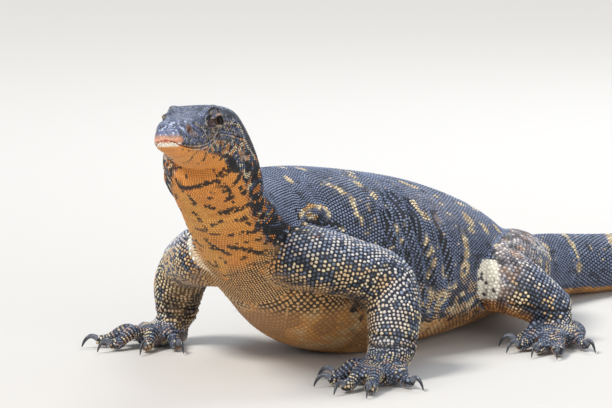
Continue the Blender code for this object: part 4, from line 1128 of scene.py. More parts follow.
def scales(name, roots, along, normal, half, height, colours, ground, places, flat, seed, lean=0.12,
           uneven=0.05):
    """A piece of closed beads at the roots: root + along * a * x + across * b * y + normal * h * z.

    half holds the half length and half width of each bead, and places its spot on the unwrap. flat is
    the share of the outline that the upper ring keeps, and lean how far it leans back. The foot of a
    bead has the colour of the ground round it.
    """
    rng = np.random.default_rng(seed)
    count = len(roots)
    shape, rise, pattern = scale_template(SCALE_SIDES, flat)
    along = unit(along - normal * np.sum(along * normal, axis=1, keepdims=True))
    across = np.cross(normal, along)
    twist = rng.normal(0, 1.4 * uneven, count)[:, None]
    c, s = np.cos(twist), np.sin(twist)
    along, across = along * c + across * s, across * c - along * s
    size = half * rng.uniform(1 - 1.4 * uneven, 1 + uneven, (count, 2))
    stray = rng.normal(0, uneven, (count, 2)) * half
    roots = roots + along * stray[:, :1] + across * stray[:, 1:]
    tall = height * rng.uniform(0.85, 1.15, count)
    x = size[:, :1] * shape[:, 0] + lean * size[:, :1] * rise
    y = size[:, 1:] * shape[:, 1]
    z = tall[:, None] * rise - SCALE_SUNK
    points = roots[:, None] + along[:, None] * x[..., None] + across[:, None] * y[..., None]
    points = points + normal[:, None] * z[..., None]
    points[..., 2] = np.maximum(points[..., 2], 0.00015 + 0.0001 * rise)
    faces = (pattern[None] + (np.arange(count) * len(shape))[:, None, None]).reshape(-1, 3)
    # painted shade and highlight on each bead: its upper ring a little darker, its tip lighter; its foot
    # takes the ground's colour
    shade = np.repeat([0, 0.92, 1.12], [SCALE_SIDES, SCALE_SIDES, 1])[None, :, None]
    tint = np.where(shade > 0, colours[:, None] * shade, ground[:, None])
    tint = tint * rng.uniform(0.88, 1.12, (count, 1, 1))
    uvs = places[:, None] + PATCH / 2 * shape
    made = new_mesh(name, points.reshape(-1, 3), faces, tint.reshape(-1, 3), uvs.reshape(-1, 2))
    return finish_piece(made, "scales")


def arc(grid):
    """Length along each row of a grid of points, up to each of its points."""
    return np.concatenate([np.zeros((len(grid), 1)), np.cumsum(norm(np.diff(grid, axis=1)), axis=1)], 1)


def rows_round(surface, places, spacing):
    """Place and angle of each root of staggered rows, one at each place, evenly spaced along its length."""
    fine = np.linspace(0, 360, 241)
    at, angle = [], []
    lengths = arc(surface(np.asarray(places)[:, None], fine[None, :]))
    for i, (place, run, gap) in enumerate(zip(places, lengths, np.broadcast_to(spacing, len(places)))):
        count = max(6, int(round(run[-1] / gap)))
        angle.append(np.interp((np.arange(count) + 0.5 * (i % 2) + 0.25) / count * run[-1], run, fine))
        at.append(np.full(count, place))
    return np.concatenate(at), np.concatenate(angle)


def even_places(surface, start, stop, gap):
    """Places along a surface that are evenly spaced over its top and sides."""
    fine = np.linspace(start, stop, 1500)
    grid = surface(fine[:, None], np.array([[0.0, 90.0, 180.0]]))
    run = np.concatenate([[0], np.cumsum(norm(np.diff(grid, axis=0)).mean(axis=1))])
    return np.interp(np.arange(0, run[-1], gap), run, fine)


def surface_frame(surface, at, angle, small_at, small_angle):
    """Points, directions along and outward normals of a surface, by small differences."""
    along = surface(at + small_at, angle) - surface(at - small_at, angle)
    round_ = surface(at, angle + small_angle) - surface(at, angle - small_angle)
    return surface(at, angle), unit(along), unit(np.cross(along, round_))


# Settings shown in the sidebar

def colour_setting(name, description, code):
    return bpy.props.FloatVectorProperty(
        name=name, description=description, subtype="COLOR", min=0, max=1, default=tuple(linear(code)),
    )


def length_setting(name, description, metres):
    return bpy.props.FloatProperty(name=name, description=description, default=metres, unit="LENGTH")


class MonitorColours(bpy.types.PropertyGroup):
    slate: colour_setting("Slate", "Darker scales of the back", "#56627f")
    slate_light: colour_setting("Light slate", "Lighter scales of the back", "#98a5c3")
    black: colour_setting("Black", "Mottling of the neck and marks of the throat", "#0f0f14")
    cream: colour_setting("Cream", "Spots of the back, tail and legs", "#ead7b0")
    orange: colour_setting("Orange", "Throat and chest", "#dd9240")
    tan: colour_setting("Tan", "Belly", "#cf9350")
    crown: colour_setting("Crown", "Top of the head", "#667297")
    pink: colour_setting("Pink", "Upper lip at the tip of the snout", "#d9946e")
    iris: colour_setting("Iris", "Iris of the eyes", "#37200f")
    horn: colour_setting("Horn", "Claws", "#2a2d33")


class MonitorSizes(bpy.types.PropertyGroup):
    coat_depth: length_setting("Coat depth", "How far the skin lies inside the solids", 0.0007)
    back_scale: length_setting("Back scale", "Spacing of the scales of the back", 0.0030)
    belly_scale: length_setting("Belly scale", "Spacing of the scales of the belly", 0.0042)
    leg_scale: length_setting("Leg scale", "Spacing of the scales of the legs", 0.0037)
    tail_scale: length_setting("Tail scale", "Spacing of the scales of the tail", 0.0040)
    head_scale: length_setting("Head scale", "Spacing of the plates of the head", 0.0018)
    voxel: length_setting("Skin grain", "Size of the cells in which trunk and legs are fused", 0.0025)


# Materials: name, roughness, relief, coat and specular level of each finish
LOOKS = {
    "skin": ("skin between the scales", 0.6, 0.4, 0.0, 0.5),
    "scales": ("scales", 0.42, 0.25, 0.15, 0.5),
    "eye": ("wet eye", 0.08, 0.0, 0.0, 0.18),
    "horn": ("claw horn", 0.30, 0.1, 0.3, 0.5),
}


def scaly(name, roughness, relief, coat, specular):
    """A material that takes its colour from the tint attribute, with a fine grain on its relief."""
    made = bpy.data.materials.new(name)
    made.use_nodes = True
    nodes, links = made.node_tree.nodes, made.node_tree.links
    kinds = ("Attribute", "TexCoord", "TexNoise", "Bump")
    tint, place, grain, bump = (nodes.new("ShaderNode" + kind) for kind in kinds)
    shader = nodes["Principled BSDF"]
    tint.attribute_name = "tint"
    links.new(tint.outputs["Color"], shader.inputs["Base Color"])
    links.new(place.outputs["Object"], grain.inputs["Vector"])
    links.new(grain.outputs["Fac"], bump.inputs["Height"])
    links.new(bump.outputs["Normal"], shader.inputs["Normal"])
    for node, socket, value in (
        (grain, "Scale", 1400), (grain, "Detail", 3), (bump, "Strength", relief), (bump, "Distance", 0.0003),
        (shader, "Roughness", roughness), (shader, "Specular IOR Level", specular),
        (shader, "Coat Weight", coat), (shader, "Coat Roughness", 0.3),
    ):
        node.inputs[socket].default_value = value
    return made


def finish_piece(piece, kind, nodes=()):
    """Gives a piece its material and the body that it rides, and hides the solids of the nodes that it stands
    for.
    """
    piece.data.materials.append(bpy.data.materials.get(LOOKS[kind][0]) or scaly(*LOOKS[kind]))
    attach(piece, "root")
    if nodes:
        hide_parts(*nodes)
    return piece


def tube_piece(name, grid, colour, uvs, kind, nodes):
    """A finished piece from a grid of points closed at both ends, whose end points look as their rings do."""
    points, faces = closed_tube(grid)
    colour, uvs = (np.concatenate([v, v[:1], v[-1:]]) for v in (colour, uvs))
    return finish_piece(new_mesh(name, points, outward(points, faces), colour, uvs), kind, nodes)


# Skin

def crater(points, side):
    """Depth by which the skin sinks round an eye, so that the eyeball and lids have room."""
    axes = eye_axes(side)
    local = (points - eye_centre(side)) @ axes
    rho = np.hypot(local[..., 0], local[..., 2])
    return np.where(local[..., 1] > -0.004, 0.0075 * step(0.0098, 0.0080, rho), 0.0)


def pits(points, normal):
    """Nostrils and ears, pressed into the skin along its normals."""
    depth = np.zeros(points.shape[:-1])
    for side in (1, -1):
        turn = TURN @ np.diag([1.0, side, 1.0])
        local = (points - nostril(side)) @ turn
        slant = local[..., 0] * 0.80 - local[..., 2] * 0.60, local[..., 0] * 0.60 + local[..., 2] * 0.80
        far = (slant[0] / 0.0027) ** 2 + (slant[1] / 0.0015) ** 2 + (local[..., 1] / 0.006) ** 2
        depth += 0.0024 * step(1.25, 0.40, far) - 0.0006 * np.exp(-((far - 1.7) ** 2) / 0.5)
        far = ear_distance(points, side) / 0.0030
        depth += 0.0016 * step(1.1, 0.4, far) - 0.0007 * bell((far - 1.35) / 0.3)
    return points - normal * depth[..., None]


def lip_ring(at):
    """Angles round each ring, the length of skin up to them, and where on it the two lip lines lie."""
    turn = np.linspace(-60, 300, 1201)
    fine = turn - 24 * np.sin(np.radians(2 * turn)) + 24 * math.sin(math.radians(-120))
    run = arc(body_surface(at[:, None], fine[None]))
    lips = lips_at(at)
    left = np.array([np.interp(level, fine, row) for level, row in zip(lips, run)])
    right = np.array([np.interp(180 - level, fine, row) for level, row in zip(lips, run)])
    return fine, run, left, right


def lip_angles(at, offset):
    """Angles of the places that lie this far over the left and the right lip line, along the skin."""
    fine, run, left, right = lip_ring(at)
    angle_left = [np.interp(s + offset, row, fine) for s, row in zip(left, run)]
    angle_right = [np.interp(s - offset, row, fine) for s, row in zip(right, run)]
    return np.array(angle_left), np.array(angle_right)


def bunched(count):
    """Shares from 0 to 1 that lie closer together at both ends."""
    share = np.arange(count) / count
    return share - 0.8 * np.sin(2 * math.pi * share) / (2 * math.pi)


def head_skin_grid(cratered=True, rows=230, over=190, below=110):
    """Grid of the head and upper neck, its columns led along the lips and close together there.

    Returns points, places, angles and the share of the mouth's slit at each point.
    """
    t = np.linspace(0, 1, rows)
    at = NECK_SEAM * (0.45 * t + 0.55 * t**1.7)
    fine, run, left, right = lip_ring(at)
    upper = (right - left)[:, None] * bunched(over)
    lower = (run[:, -1] - (right - left))[:, None] * bunched(below)
    spot = np.concatenate([left[:, None] + upper, right[:, None] + lower], axis=1)
    spot = np.mod(spot, run[:, -1:])
    degrees = np.array([np.interp(s, row, fine) for s, row in zip(spot, run)])
    away = np.minimum(np.abs(spot - left[:, None]), np.abs(spot - right[:, None]))
    places = at[:, None] + 0 * degrees
    depth = bpy.context.scene.monitor.coat_depth
    grid = body_surface(places, degrees, depth)
    end = step(NECK_SEAM - 0.007, NECK_SEAM, at)[:, None, None]
    grid = grid + (grid.mean(axis=1, keepdims=True) - grid) * 0.06 * end
    normal = grid_normals(grid)
    past = np.clip((at - MOUTH_LENGTH) / (0.012 * HEAD), -30, 30)
    parted = (1 / (1 + np.exp(past)))[:, None]
    slit = parted * bell(away / 0.00055)
    push = parted * 0.0004 * bell((away - 0.0016) / 0.0010) - LIP_GROOVE * slit
    if cratered:
        grid = grid + normal * push[..., None]
        for hand in (1, -1):
            grid = grid - eye_axes(hand)[:, 1] * crater(grid, hand)[..., None]
        grid = pits(grid, normal)
    return grid, places, degrees, slit


def atlas(at, degrees, low, high):
    """Place on the unwrap: along the body and round it."""
    return np.stack([0.02 + 0.96 * (at - low) / (high - low), 0.02 + 0.96 * (np.mod(degrees, 360) / 360)], -1)


def trunk_solids():
    """Closed tubes of the trunk, legs, palms and toes, which overlap."""
    ring = np.linspace(0, 360, 40, endpoint=False)[None]
    at = np.linspace(NECK_SEAM - 0.012, TAIL_SEAM + 0.012, 260)
    parts = [closed_tube(body_surface(at[:, None], np.linspace(0, 360, 180, endpoint=False)[None]))]
    for leg in LEGS.values():
        tube = leg_tube(leg)
        forms = [(tube.surface, 60), (ankle_surface(leg, tube), 12), (palm_tube(leg).surface, 40)]
        forms += [(toe_tube(leg, toe).surface, 40) for toe in leg["toes"]]
        parts += [closed_tube(surface(np.linspace(0, 1, rows)[:, None], ring)) for surface, rows in forms]
    starts = np.cumsum([0] + [len(points) for points, _ in parts])
    faces = [outward(points, faces) + start for (points, faces), start in zip(parts, starts)]
    return np.concatenate([points for points, _ in parts]), np.concatenate(faces)


def ankle_surface(leg, tube):
    """Rings alike, carried from the wrist into the palm and shrinking, as a function of share and angle."""
    middle, way = foot_axes(leg)
    long, _, high = leg["palm"]
    wrist = tube.path[-1]
    inside = middle + np.array([0, 0, high]) - way * long * 0.12

    def surface(share, degrees):
        share, degrees = np.broadcast_arrays(np.asarray(share, float), np.asarray(degrees, float))
        ring = tube.surface(np.ones(share.shape), degrees) - wrist
        share = share[..., None]
        points = wrist + share * (inside - wrist) + ring * (1 - 0.30 * share**2)
        points[..., 2] = np.maximum(points[..., 2], 0.0012)
        return points

    return surface


def nearest_on(samples, points, chunk=20000):
    """Index of the nearest sample to each point."""
    found = np.empty(len(points), int)
    square = np.sum(samples**2, axis=1)
    for i in range(0, len(points), chunk):
        found[i:i + chunk] = np.argmin(square - 2 * points[i:i + chunk] @ samples.T, axis=1)
    return found


def where_on_body(points):
    """Place along the spine and angle round it of points near the trunk's surface."""
    at = np.linspace(0.08, SPINE.length, 1500)
    place, _, left, up, _ = SPINE.frames(at)
    k = nearest_on(place, points)
    away = points - place[k]
    degrees = np.degrees(np.arctan2(np.sum(away * up[k], axis=1), np.sum(away * left[k], axis=1)))
    return at[k], degrees


def trunk_tint(points, normals, beads):
    """Colours of the trunk and legs by place: the scales' and the skin's between, and where each lies.

    Returns them with the place along the body, the angle round it, and the place on the unwrap.
    """
    at, degrees = where_on_body(points)
    colour, ground = body_colour(at, degrees, points)
    on_leg = step(0.004, 0.010, norm(points - body_surface(at, degrees)))
    spread = atlas(at, degrees, NECK_SEAM - 0.02, TAIL_SEAM + 0.02) * np.array([0.5, 1.0])
    for number, (kind, leg) in enumerate(LEGS.items()):
        path = smooth(JOINT_AT, leg_tube(leg).path, np.linspace(0, 1, 60))
        mine = (np.abs(points[:, 0] - path[:, 0].mean()) < 0.13) & (points[:, 1] * leg["side"] > 0)
        nearest = nearest_on(path, points)
        share = nearest / (len(path) - 1)
        leg_tone, between = leg_colour(kind, share, normals, points, beads)
        colour, ground = mix(colour, leg_tone, on_leg * mine), mix(ground, between, on_leg * mine)
        away = points - path[nearest]
        round_ = np.arctan2(away[:, 2], away[:, 1] - away[:, 0]) / (2 * math.pi) + 0.5
        place = np.stack([0.51 + 0.12 * number + 0.11 * share, 0.02 + 0.96 * round_], 1)
        spread = np.where(((on_leg > 0.5) & mine)[:, None], place, spread)
    return colour, ground, at, degrees, spread


class MONITOR_OT_skin(bpy.types.Operator):
    """Head and upper neck, trunk with legs, and tail: three skins that dive under one another."""

    bl_idname = "monitor.skin"
    bl_label = "Skin"

    def execute(self, context):
        sizes = context.scene.monitor
        self.head()
        self.trunk(context, sizes.coat_depth, sizes.voxel)
        self.tail(sizes.coat_depth)
        return {"FINISHED"}

    def head(self):
        grid, at, degrees, slit = head_skin_grid()
        at, degrees, points = at.ravel(), degrees.ravel(), grid.reshape(-1, 3)
        scale_tone, colour = body_colour(at, degrees, points)
        bare = step(0.004, 0.0015, at)
        for side in (1, -1):
            bare = np.maximum(bare, step(0.0040, 0.0030, norm(points - nostril(side))))
            bare = np.maximum(bare, step(0.0056, 0.0048, ear_distance(points, side)))
        # the mouth's slit: dark as painted shade in its groove, turning to the mouth's own red towards the
        # tip
        mouth = mix("#33292a", "#a8402c", step(0.016, 0.008, at))
        colour = painted(colour, (scale_tone * 0.75, bare), (mouth, np.clip(1.4 * slit.ravel(), 0, 1)))
        tube_piece("skin_head", grid, colour, atlas(at, degrees, 0, NECK_SEAM), "skin", ("head",))

    def trunk(self, context, depth, voxel):
        """The overlapping tubes, fused by a Remesh modifier and smoothed, most of all at the legs' roots."""
        rough = new_mesh("skin_rough", *trunk_solids())
        fuse = rough.modifiers.new("fuse", "REMESH")
        fuse.mode = "VOXEL"
        fuse.voxel_size = voxel
        context.view_layer.update()
        mesh = bpy.data.meshes.new_from_object(rough.evaluated_get(context.evaluated_depsgraph_get()))
        bpy.data.objects.remove(rough, do_unlink=True)
        points, _ = arrays(mesh)
        edges = np.empty(len(mesh.edges) * 2, np.int32)
        mesh.edges.foreach_get("vertices", edges)
        blend = np.zeros(len(points))
        for leg in LEGS.values():
            root = leg_tube(leg).surface(np.full(12, 0.30), np.linspace(0, 330, 12)).mean(axis=0)
            blend = np.maximum(blend, np.exp(-((norm(points - root) / 0.032) ** 4)))
        points = relax(points, edges.reshape(-1, 2), np.full(len(points), 0.45), 3)
        points = relax(points, edges.reshape(-1, 2), 0.5 * blend, 36)
        put_points(mesh, points)
        _, normals = arrays(mesh)
        points = points - normals * (depth + 0.0013 * creases(points))[:, None]
        points[:, 2] = np.maximum(points[:, 2], 0.0002)
        put_points(mesh, points)
        put_tint(mesh, trunk_tint(points, normals, np.ones(len(points)))[1])
        mesh.polygons.foreach_set("use_smooth", np.ones(len(mesh.polygons), bool))
        limbs = ("upper_arm", "forearm", "hand", "thigh", "shin", "foot")
        nodes = [f"{part}_{side}" for side in ("left", "right") for part in limbs]
        finish_piece(placed("skin_trunk", mesh), "skin", ("neck", "torso", "tail_1", *nodes))

    def tail(self, depth):
        rows, columns = 560, 72
        at = np.linspace(TAIL_SEAM - 0.006, SPINE.length, rows)
        ring = np.linspace(0, 360, columns, endpoint=False)
        grid = body_surface(at[:, None], ring[None], depth)
        start = step(TAIL_SEAM + 0.004, TAIL_SEAM - 0.006, at)[:, None, None]
        grid = grid + (grid.mean(axis=1, keepdims=True) - grid) * 0.08 * start
        places, turns = np.repeat(at, columns), np.tile(ring, rows)
        colour = body_colour(places, turns, grid.reshape(-1, 3))[1]
        uvs = atlas(places, turns, at[0], at[-1])
        tube_piece("skin_tail", grid, colour, uvs, "skin", ("tail_2", "tail_3", "tail_4"))


# Coat of scales

def keep(mask, *columns):
    return tuple(c[mask] for c in columns)


class MONITOR_OT_head_scales(bpy.types.Operator):
    """Small plates over the head, a row of shields along each lip, and grains on the upper neck."""

    bl_idname = "monitor.head_scales"
    bl_label = "Head scales"

    def execute(self, context):
        depth = context.scene.monitor.coat_depth

        def skin(at, degrees):
            """The head, with the flat tip of the snout as places before zero."""
            ring = body_surface(np.maximum(at, 0), degrees, depth)
            shrink = np.clip(1 + at / 0.0026, 0.02, 1)[..., None]
            return SNOUT + (ring - SNOUT) * np.where(shrink < 1, shrink, 1)

        self.plates(skin, context.scene.monitor.head_scale)
        self.shields(skin)
        return {"FINISHED"}

    def plates(self, skin, gap):
        places = even_places(skin, -0.0022, NECK_SEAM + 0.004, gap * 0.87)
        spacing = np.where(places < 0.03, gap * 0.92, np.where(places < 0.09, gap, gap * 1.12))
        at, degrees = rows_round(skin, places, spacing)
        here, along, normal = surface_frame(skin, at, degrees, 0.0004, 0.6)
        level = lips_at(at)
        lip = skin(at, np.where(np.cos(np.radians(degrees)) > 0, level, 180 - level))
        free = (norm(here - lip) > 0.0028) | (at > MOUTH_LENGTH + 0.001)
        for side in (1, -1):
            x, y, z = ((here - eye_centre(side)) @ eye_axes(side)).T
            free &= ~((np.hypot(x, z) < 0.0108) & (y > -0.004))
            free &= norm(here - nostril(side)) > 0.0026
            free &= ear_distance(here, side) > 0.0036
        at, degrees, here, along, normal = keep(free, at, degrees, here, along, normal)
        at = np.maximum(at, 0)
        crown = step(28, 40, folded(degrees)) * step(0.105, 0.09, at)
        half = gap * np.array([0.46, 0.50]) * (1 + 0.06 * crown[:, None])
        tall = 0.00045 + 0.00020 * (1 - crown) + 0.00025 * step(0.09, 0.13, at)
        order = np.argsort(at, kind="stable")
        uvs = atlas(at, degrees, 0, NECK_SEAM + 0.004)
        columns = (here, along, normal, half, tall, *body_colour(at, degrees, here), uvs)
        for part, index in enumerate((order[:len(at) // 2], order[len(at) // 2:])):
            scales(f"scales_head_{part + 1}", *(c[index] for c in columns), 0.84, 31 + part, 0.05)

    def shields(self, skin):
        """A row of shields over the mouth and one under it, flatter at the tip of the snout."""
        places = even_places(lambda at, _: skin(at, lips_at(at)), 0.0004, MOUTH_LENGTH, 0.0026)
        at = np.tile(places, 2)
        behind = step(0.010, 0.024, at)
        half = np.tile([0.00138, 0.00122], (len(at), 1))
        for number, offset in enumerate((0.0014, -0.0014)):
            angle = np.concatenate(lip_angles(places, offset))
            here, along, normal = surface_frame(skin, at, angle, 0.0004, 0.6)
            colour, ground = body_colour(at, angle, here)
            here, tall = here + normal * (0.0004 * behind)[:, None], 0.00025 + 0.00035 * behind
            uvs = atlas(at, angle, 0, NECK_SEAM)
            scales(f"shields_lip_{number + 1}", here, along, normal, half, tall, colour, ground, uvs, 0.86,
                   41 + number, 0.0)


def tree_of(points):
    """A search tree of these points."""
    tree = KDTree(len(points))
    for index, point in enumerate(points):
        tree.insert(point, index)
    tree.balance()
    return tree


def thinned(roots, gap, taken):
    """Mask of the roots that keep this distance from those taken and from the roots before them."""
    tree = tree_of(np.concatenate([taken, roots]))
    kept = np.ones(len(roots), bool)
    for index in range(len(roots)):
        if kept[index]:
            found = np.array([f[1] for f in tree.find_range(roots[index], gap)]) - len(taken)
            kept[index] = not np.any(found < 0)
            if kept[index]:
                kept[found[found > index]] = False
    return kept


def local_gap(roots, usual):
    """Mean distance from each root to its four nearest neighbours, kept near the usual gap."""
    tree = tree_of(roots)
    far = np.array([np.mean([f[2] for f in tree.find_n(point, 5)][1:]) for point in roots])
    return np.clip(far, 0.75 * usual, 1.45 * usual)


class MONITOR_OT_trunk_scales(bpy.types.Operator):
    """Beads in staggered cross rows over the neck, back, flanks and belly."""

    bl_idname = "monitor.trunk_scales"
    bl_label = "Trunk scales"

    def execute(self, context):
        sizes = context.scene.monitor
        target = bpy.data.objects["skin_trunk"]
        cuts = (NECK_SEAM + 0.002, 0.262, 0.372, 0.482, TAIL_SEAM + 0.002)
        for part in range(4):
            back = sizes.back_scale * (0.80 + 0.20 * float(step(NECK_SEAM, 0.25, cuts[part])))
            kinds = (("trunk", back, 0.90, 0.00095), ("belly", sizes.belly_scale, 0.95, 0.0006))
            for number, (word, gap, pitch, height) in enumerate(kinds):
                places = np.arange(cuts[part], cuts[part + 1], gap * pitch)
                if number and places[-1] < 0.25:
                    continue
                at, degrees = rows_round(body_surface, places, gap)
                thin = (folded(degrees) < -35) & (at > 0.25)
                at, degrees = keep(thin if number else ~thin, at, degrees)
                here, along, _ = surface_frame(body_surface, at, degrees, 0.0006, 0.4)
                root, normal = snapped(here, target)
                near = norm(root - here) < 0.0055
                near &= thinned(root, gap * 0.60, np.zeros((0, 3))) & (root[:, 2] > 0.0006)
                at, degrees, root, along, normal = keep(near, at, degrees, root, along, normal)
                half = np.tile([gap * 0.50, gap * 0.445], (len(root), 1))
                scales(f"scales_{word}_{part + 1}", root, along, normal, half, np.full(len(root), height),
                       *body_colour(at, degrees, root), atlas(at, degrees, NECK_SEAM, TAIL_SEAM + 0.003),
                       0.74, 51 + part * 2 + number)
        return {"FINISHED"}


class MONITOR_OT_tail_scales(bpy.types.Operator):
    """Longer beads in rings down the tail, smaller towards its tip."""

    bl_idname = "monitor.tail_scales"
    bl_label = "Tail scales"

    def execute(self, context):
        start, places = TAIL_SEAM - 0.001, []

        def skin(at, degrees):
            return body_surface(at, degrees, context.scene.monitor.coat_depth)

        def gap_at(at):
            return context.scene.monitor.tail_scale * (1 - 0.55 * (at - start) / (SPINE.length - start))

        at = start
        while at < SPINE.length - 0.004:
            places.append(at)
            at += gap_at(at)
        at, degrees = rows_round(skin, np.array(places), gap_at(np.array(places)) * 0.86)
        here, along, normal = surface_frame(skin, at, degrees, 0.0008, 1.5)
        at, degrees, here, along, normal = keep(here[:, 2] > 0.0011, at, degrees, here, along, normal)
        share = (at - start) / (SPINE.length - start)
        half = gap_at(at)[:, None] * np.array([0.54, 0.40])
        columns = (here, along, normal, half, 0.0009 * (1 - 0.6 * share), *body_colour(at, degrees, here),
                   atlas(at, degrees, start, SPINE.length))
        for part, index in enumerate((slice(0, len(at) // 2), slice(len(at) // 2, None))):
            scales(f"scales_tail_{part + 1}", *(c[index] for c in columns), 0.70, 71 + part)
        return {"FINISHED"}


def snapped_rows(surface, target, start, stop, gap):
    """Places whose rows lie this far apart on the fused skin, where it is stretched most."""
    fine = np.linspace(start, stop, 70)
    angles = np.linspace(0, 360, 24, endpoint=False)
    points, _ = snapped(surface(fine[:, None], angles[None]).reshape(-1, 3), target)
    steps = norm(np.diff(points.reshape(len(fine), len(angles), 3), axis=0))
    run = np.concatenate([[0], np.cumsum(np.percentile(steps, 75, axis=1))])
    return np.interp(np.arange(0, run[-1], gap), run, fine)


def roots_of(*words):
    """Places of the scales of these pieces, read from the points at the tips of their meshes."""
    pieces = [piece for piece in bpy.data.objects if piece.name.startswith(words)]
    return np.concatenate([arrays(piece.data)[0][SCALE_TIP::SCALE_TIP + 1] for piece in pieces])


class MONITOR_OT_leg_scales(bpy.types.Operator):
    """Beads in rows round each leg, finer on the palm and in bands over each toe."""

    bl_idname = "monitor.leg_scales"
    bl_label = "Leg scales"

    def execute(self, context):
        taken = roots_of("scales_trunk", "scales_belly")
        for number, kind in enumerate(LEGS):
            self.leg(context.scene.monitor.leg_scale, kind, number, taken)
        self.fill(context.scene.monitor.back_scale)
        return {"FINISHED"}

    def fill(self, gap):
        """Beads on the skin that the rows of the trunk and the legs leave bare."""
        points, normals = arrays(bpy.data.objects["skin_trunk"].data)
        at, _ = where_on_body(points)
        bare = (at > NECK_SEAM + 0.004) & (at < TAIL_SEAM) & (points[:, 2] > 0.0012)
        points, normals = keep(bare, points, normals)
        taken = roots_of("scales_trunk", "scales_belly", "scales_fore", "scales_hind")
        points, normals = keep(thinned(points, gap * 0.90, taken), points, normals)
        beads = np.random.default_rng(140).random(len(points))
        colour, ground, at, _, spread = trunk_tint(points, normals, beads)
        half = np.tile(local_gap(points, gap)[:, None] * 0.40, (1, 2)).clip(0.0011, 0.0017)
        scales("scales_joints", points, SPINE.frames(at)[1], normals, half, np.full(len(points), 0.0009),
               colour, ground, spread, 0.70, 90)

    def leg(self, gap, kind, number, taken):
        leg, target = LEGS[kind], bpy.data.objects["skin_trunk"]
        tube = leg_tube(leg)
        fine = gap * 0.72
        shank_rows = snapped_rows(tube.surface, target, 0.04, 0.99, gap * 0.92)
        palm_rows = np.arange(0.03, 0.98, fine * 0.9 / (2 * leg["palm"][0]))
        # surface, places of its rows, spacing, how far a root may move to the skin, style
        parts = [
            (tube.surface, shank_rows, gap, 0.0055, "leg"),
            (ankle_surface(leg, tube), np.arange(0.0, 0.95, 0.10), fine * 1.1, 0.0040, "ankle"),
            (palm_tube(leg).surface, palm_rows, fine, 0.0030, "palm"),
        ]
        for toe in leg["toes"]:
            digit = toe_tube(leg, toe)
            pitch = fine * 0.86 / np.linalg.norm(digit.path[-1] - digit.path[0])
            parts.append((digit.surface, np.arange(0.12, 0.99, pitch), fine, 0.0016, "toe"))
        near = taken[norm(taken - tube.path[1]) < 0.14]
        found = []
        for index, (surface, places, spacing, limit, style) in enumerate(parts):
            at, degrees = rows_round(surface, places, spacing)
            here, along, _ = surface_frame(surface, at, degrees, 0.004, 2.0)
            root, normal = snapped(here, target)
            free = (norm(root - here) < limit) & (root[:, 2] > 0.0009)
            at, degrees, root, along, normal = keep(free, at, degrees, root, along, normal)
            clear = thinned(root, spacing * (0.74 if style == "leg" else 0.66), near)
            at, degrees, root, along, normal = keep(clear, at, degrees, root, along, normal)
            near = np.concatenate([near, root])
            beads = np.random.default_rng(100 + number * 20 + index).random(len(at))
            share = at if style == "leg" else np.ones(len(at))
            colour, ground = leg_colour(kind, share, normal, root, beads)
            if style == "leg":
                colour, ground = near_trunk(colour, ground, root, at)
            else:
                colour = foot_colour(colour, at, root, style, beads)
            half = local_gap(root, spacing)[:, None] * np.array([0.44 if style == "toe" else 0.49, 0.48])
            height = np.full(len(at), 0.0011 if style == "leg" else 0.0007)
            left, wide = (0.0, 0.50) if style == "leg" else (0.50 + 0.055 * index, 0.05)
            spread = np.stack([left + wide * at, 0.02 + 0.96 * np.mod(degrees, 360) / 360], 1)
            found.append((root, along, normal, half, height, colour, ground, spread))
        columns = [np.concatenate(column) for column in zip(*found)]
        scales(f"scales_{kind}", *columns, 0.66, 81 + number, uneven=0.13)


def near_trunk(colour, ground, points, share):
    """Blends a leg's colours into the trunk's where it leaves the body."""
    at, degrees = where_on_body(points)
    trunk, between = body_colour(at, degrees, points)
    part = step(0.24, 0.10, share) * (np.sin(np.radians(degrees)) >= -0.1)
    return mix(colour, trunk, part), mix(ground, between, part)


def foot_colour(colour, share, points, style, beads):
    """Slate feet with cream blots and a cream bead over each claw."""
    blot = step(0.50, 0.56, noise(points, 0.0058, 26)) * (beads < 0.85)
    pinkish = mix("#dccba2", "#b99c8c", step(0.4, 0.6, noise(points, 0.007, 27)))
    slate = painted("#3d465a", ("#98a4be", beads * 0.8), (pinkish, blot * 0.9))
    if style == "toe":
        return mix(slate, "#e6dab8", step(0.90, 0.95, share) * step(0.2, 0.5, beads) * 0.85)
    return mix(colour, slate, step(0.0, 0.7, share)) if style == "ankle" else slate


# Eyes and lids

LID_COLUMNS = 96


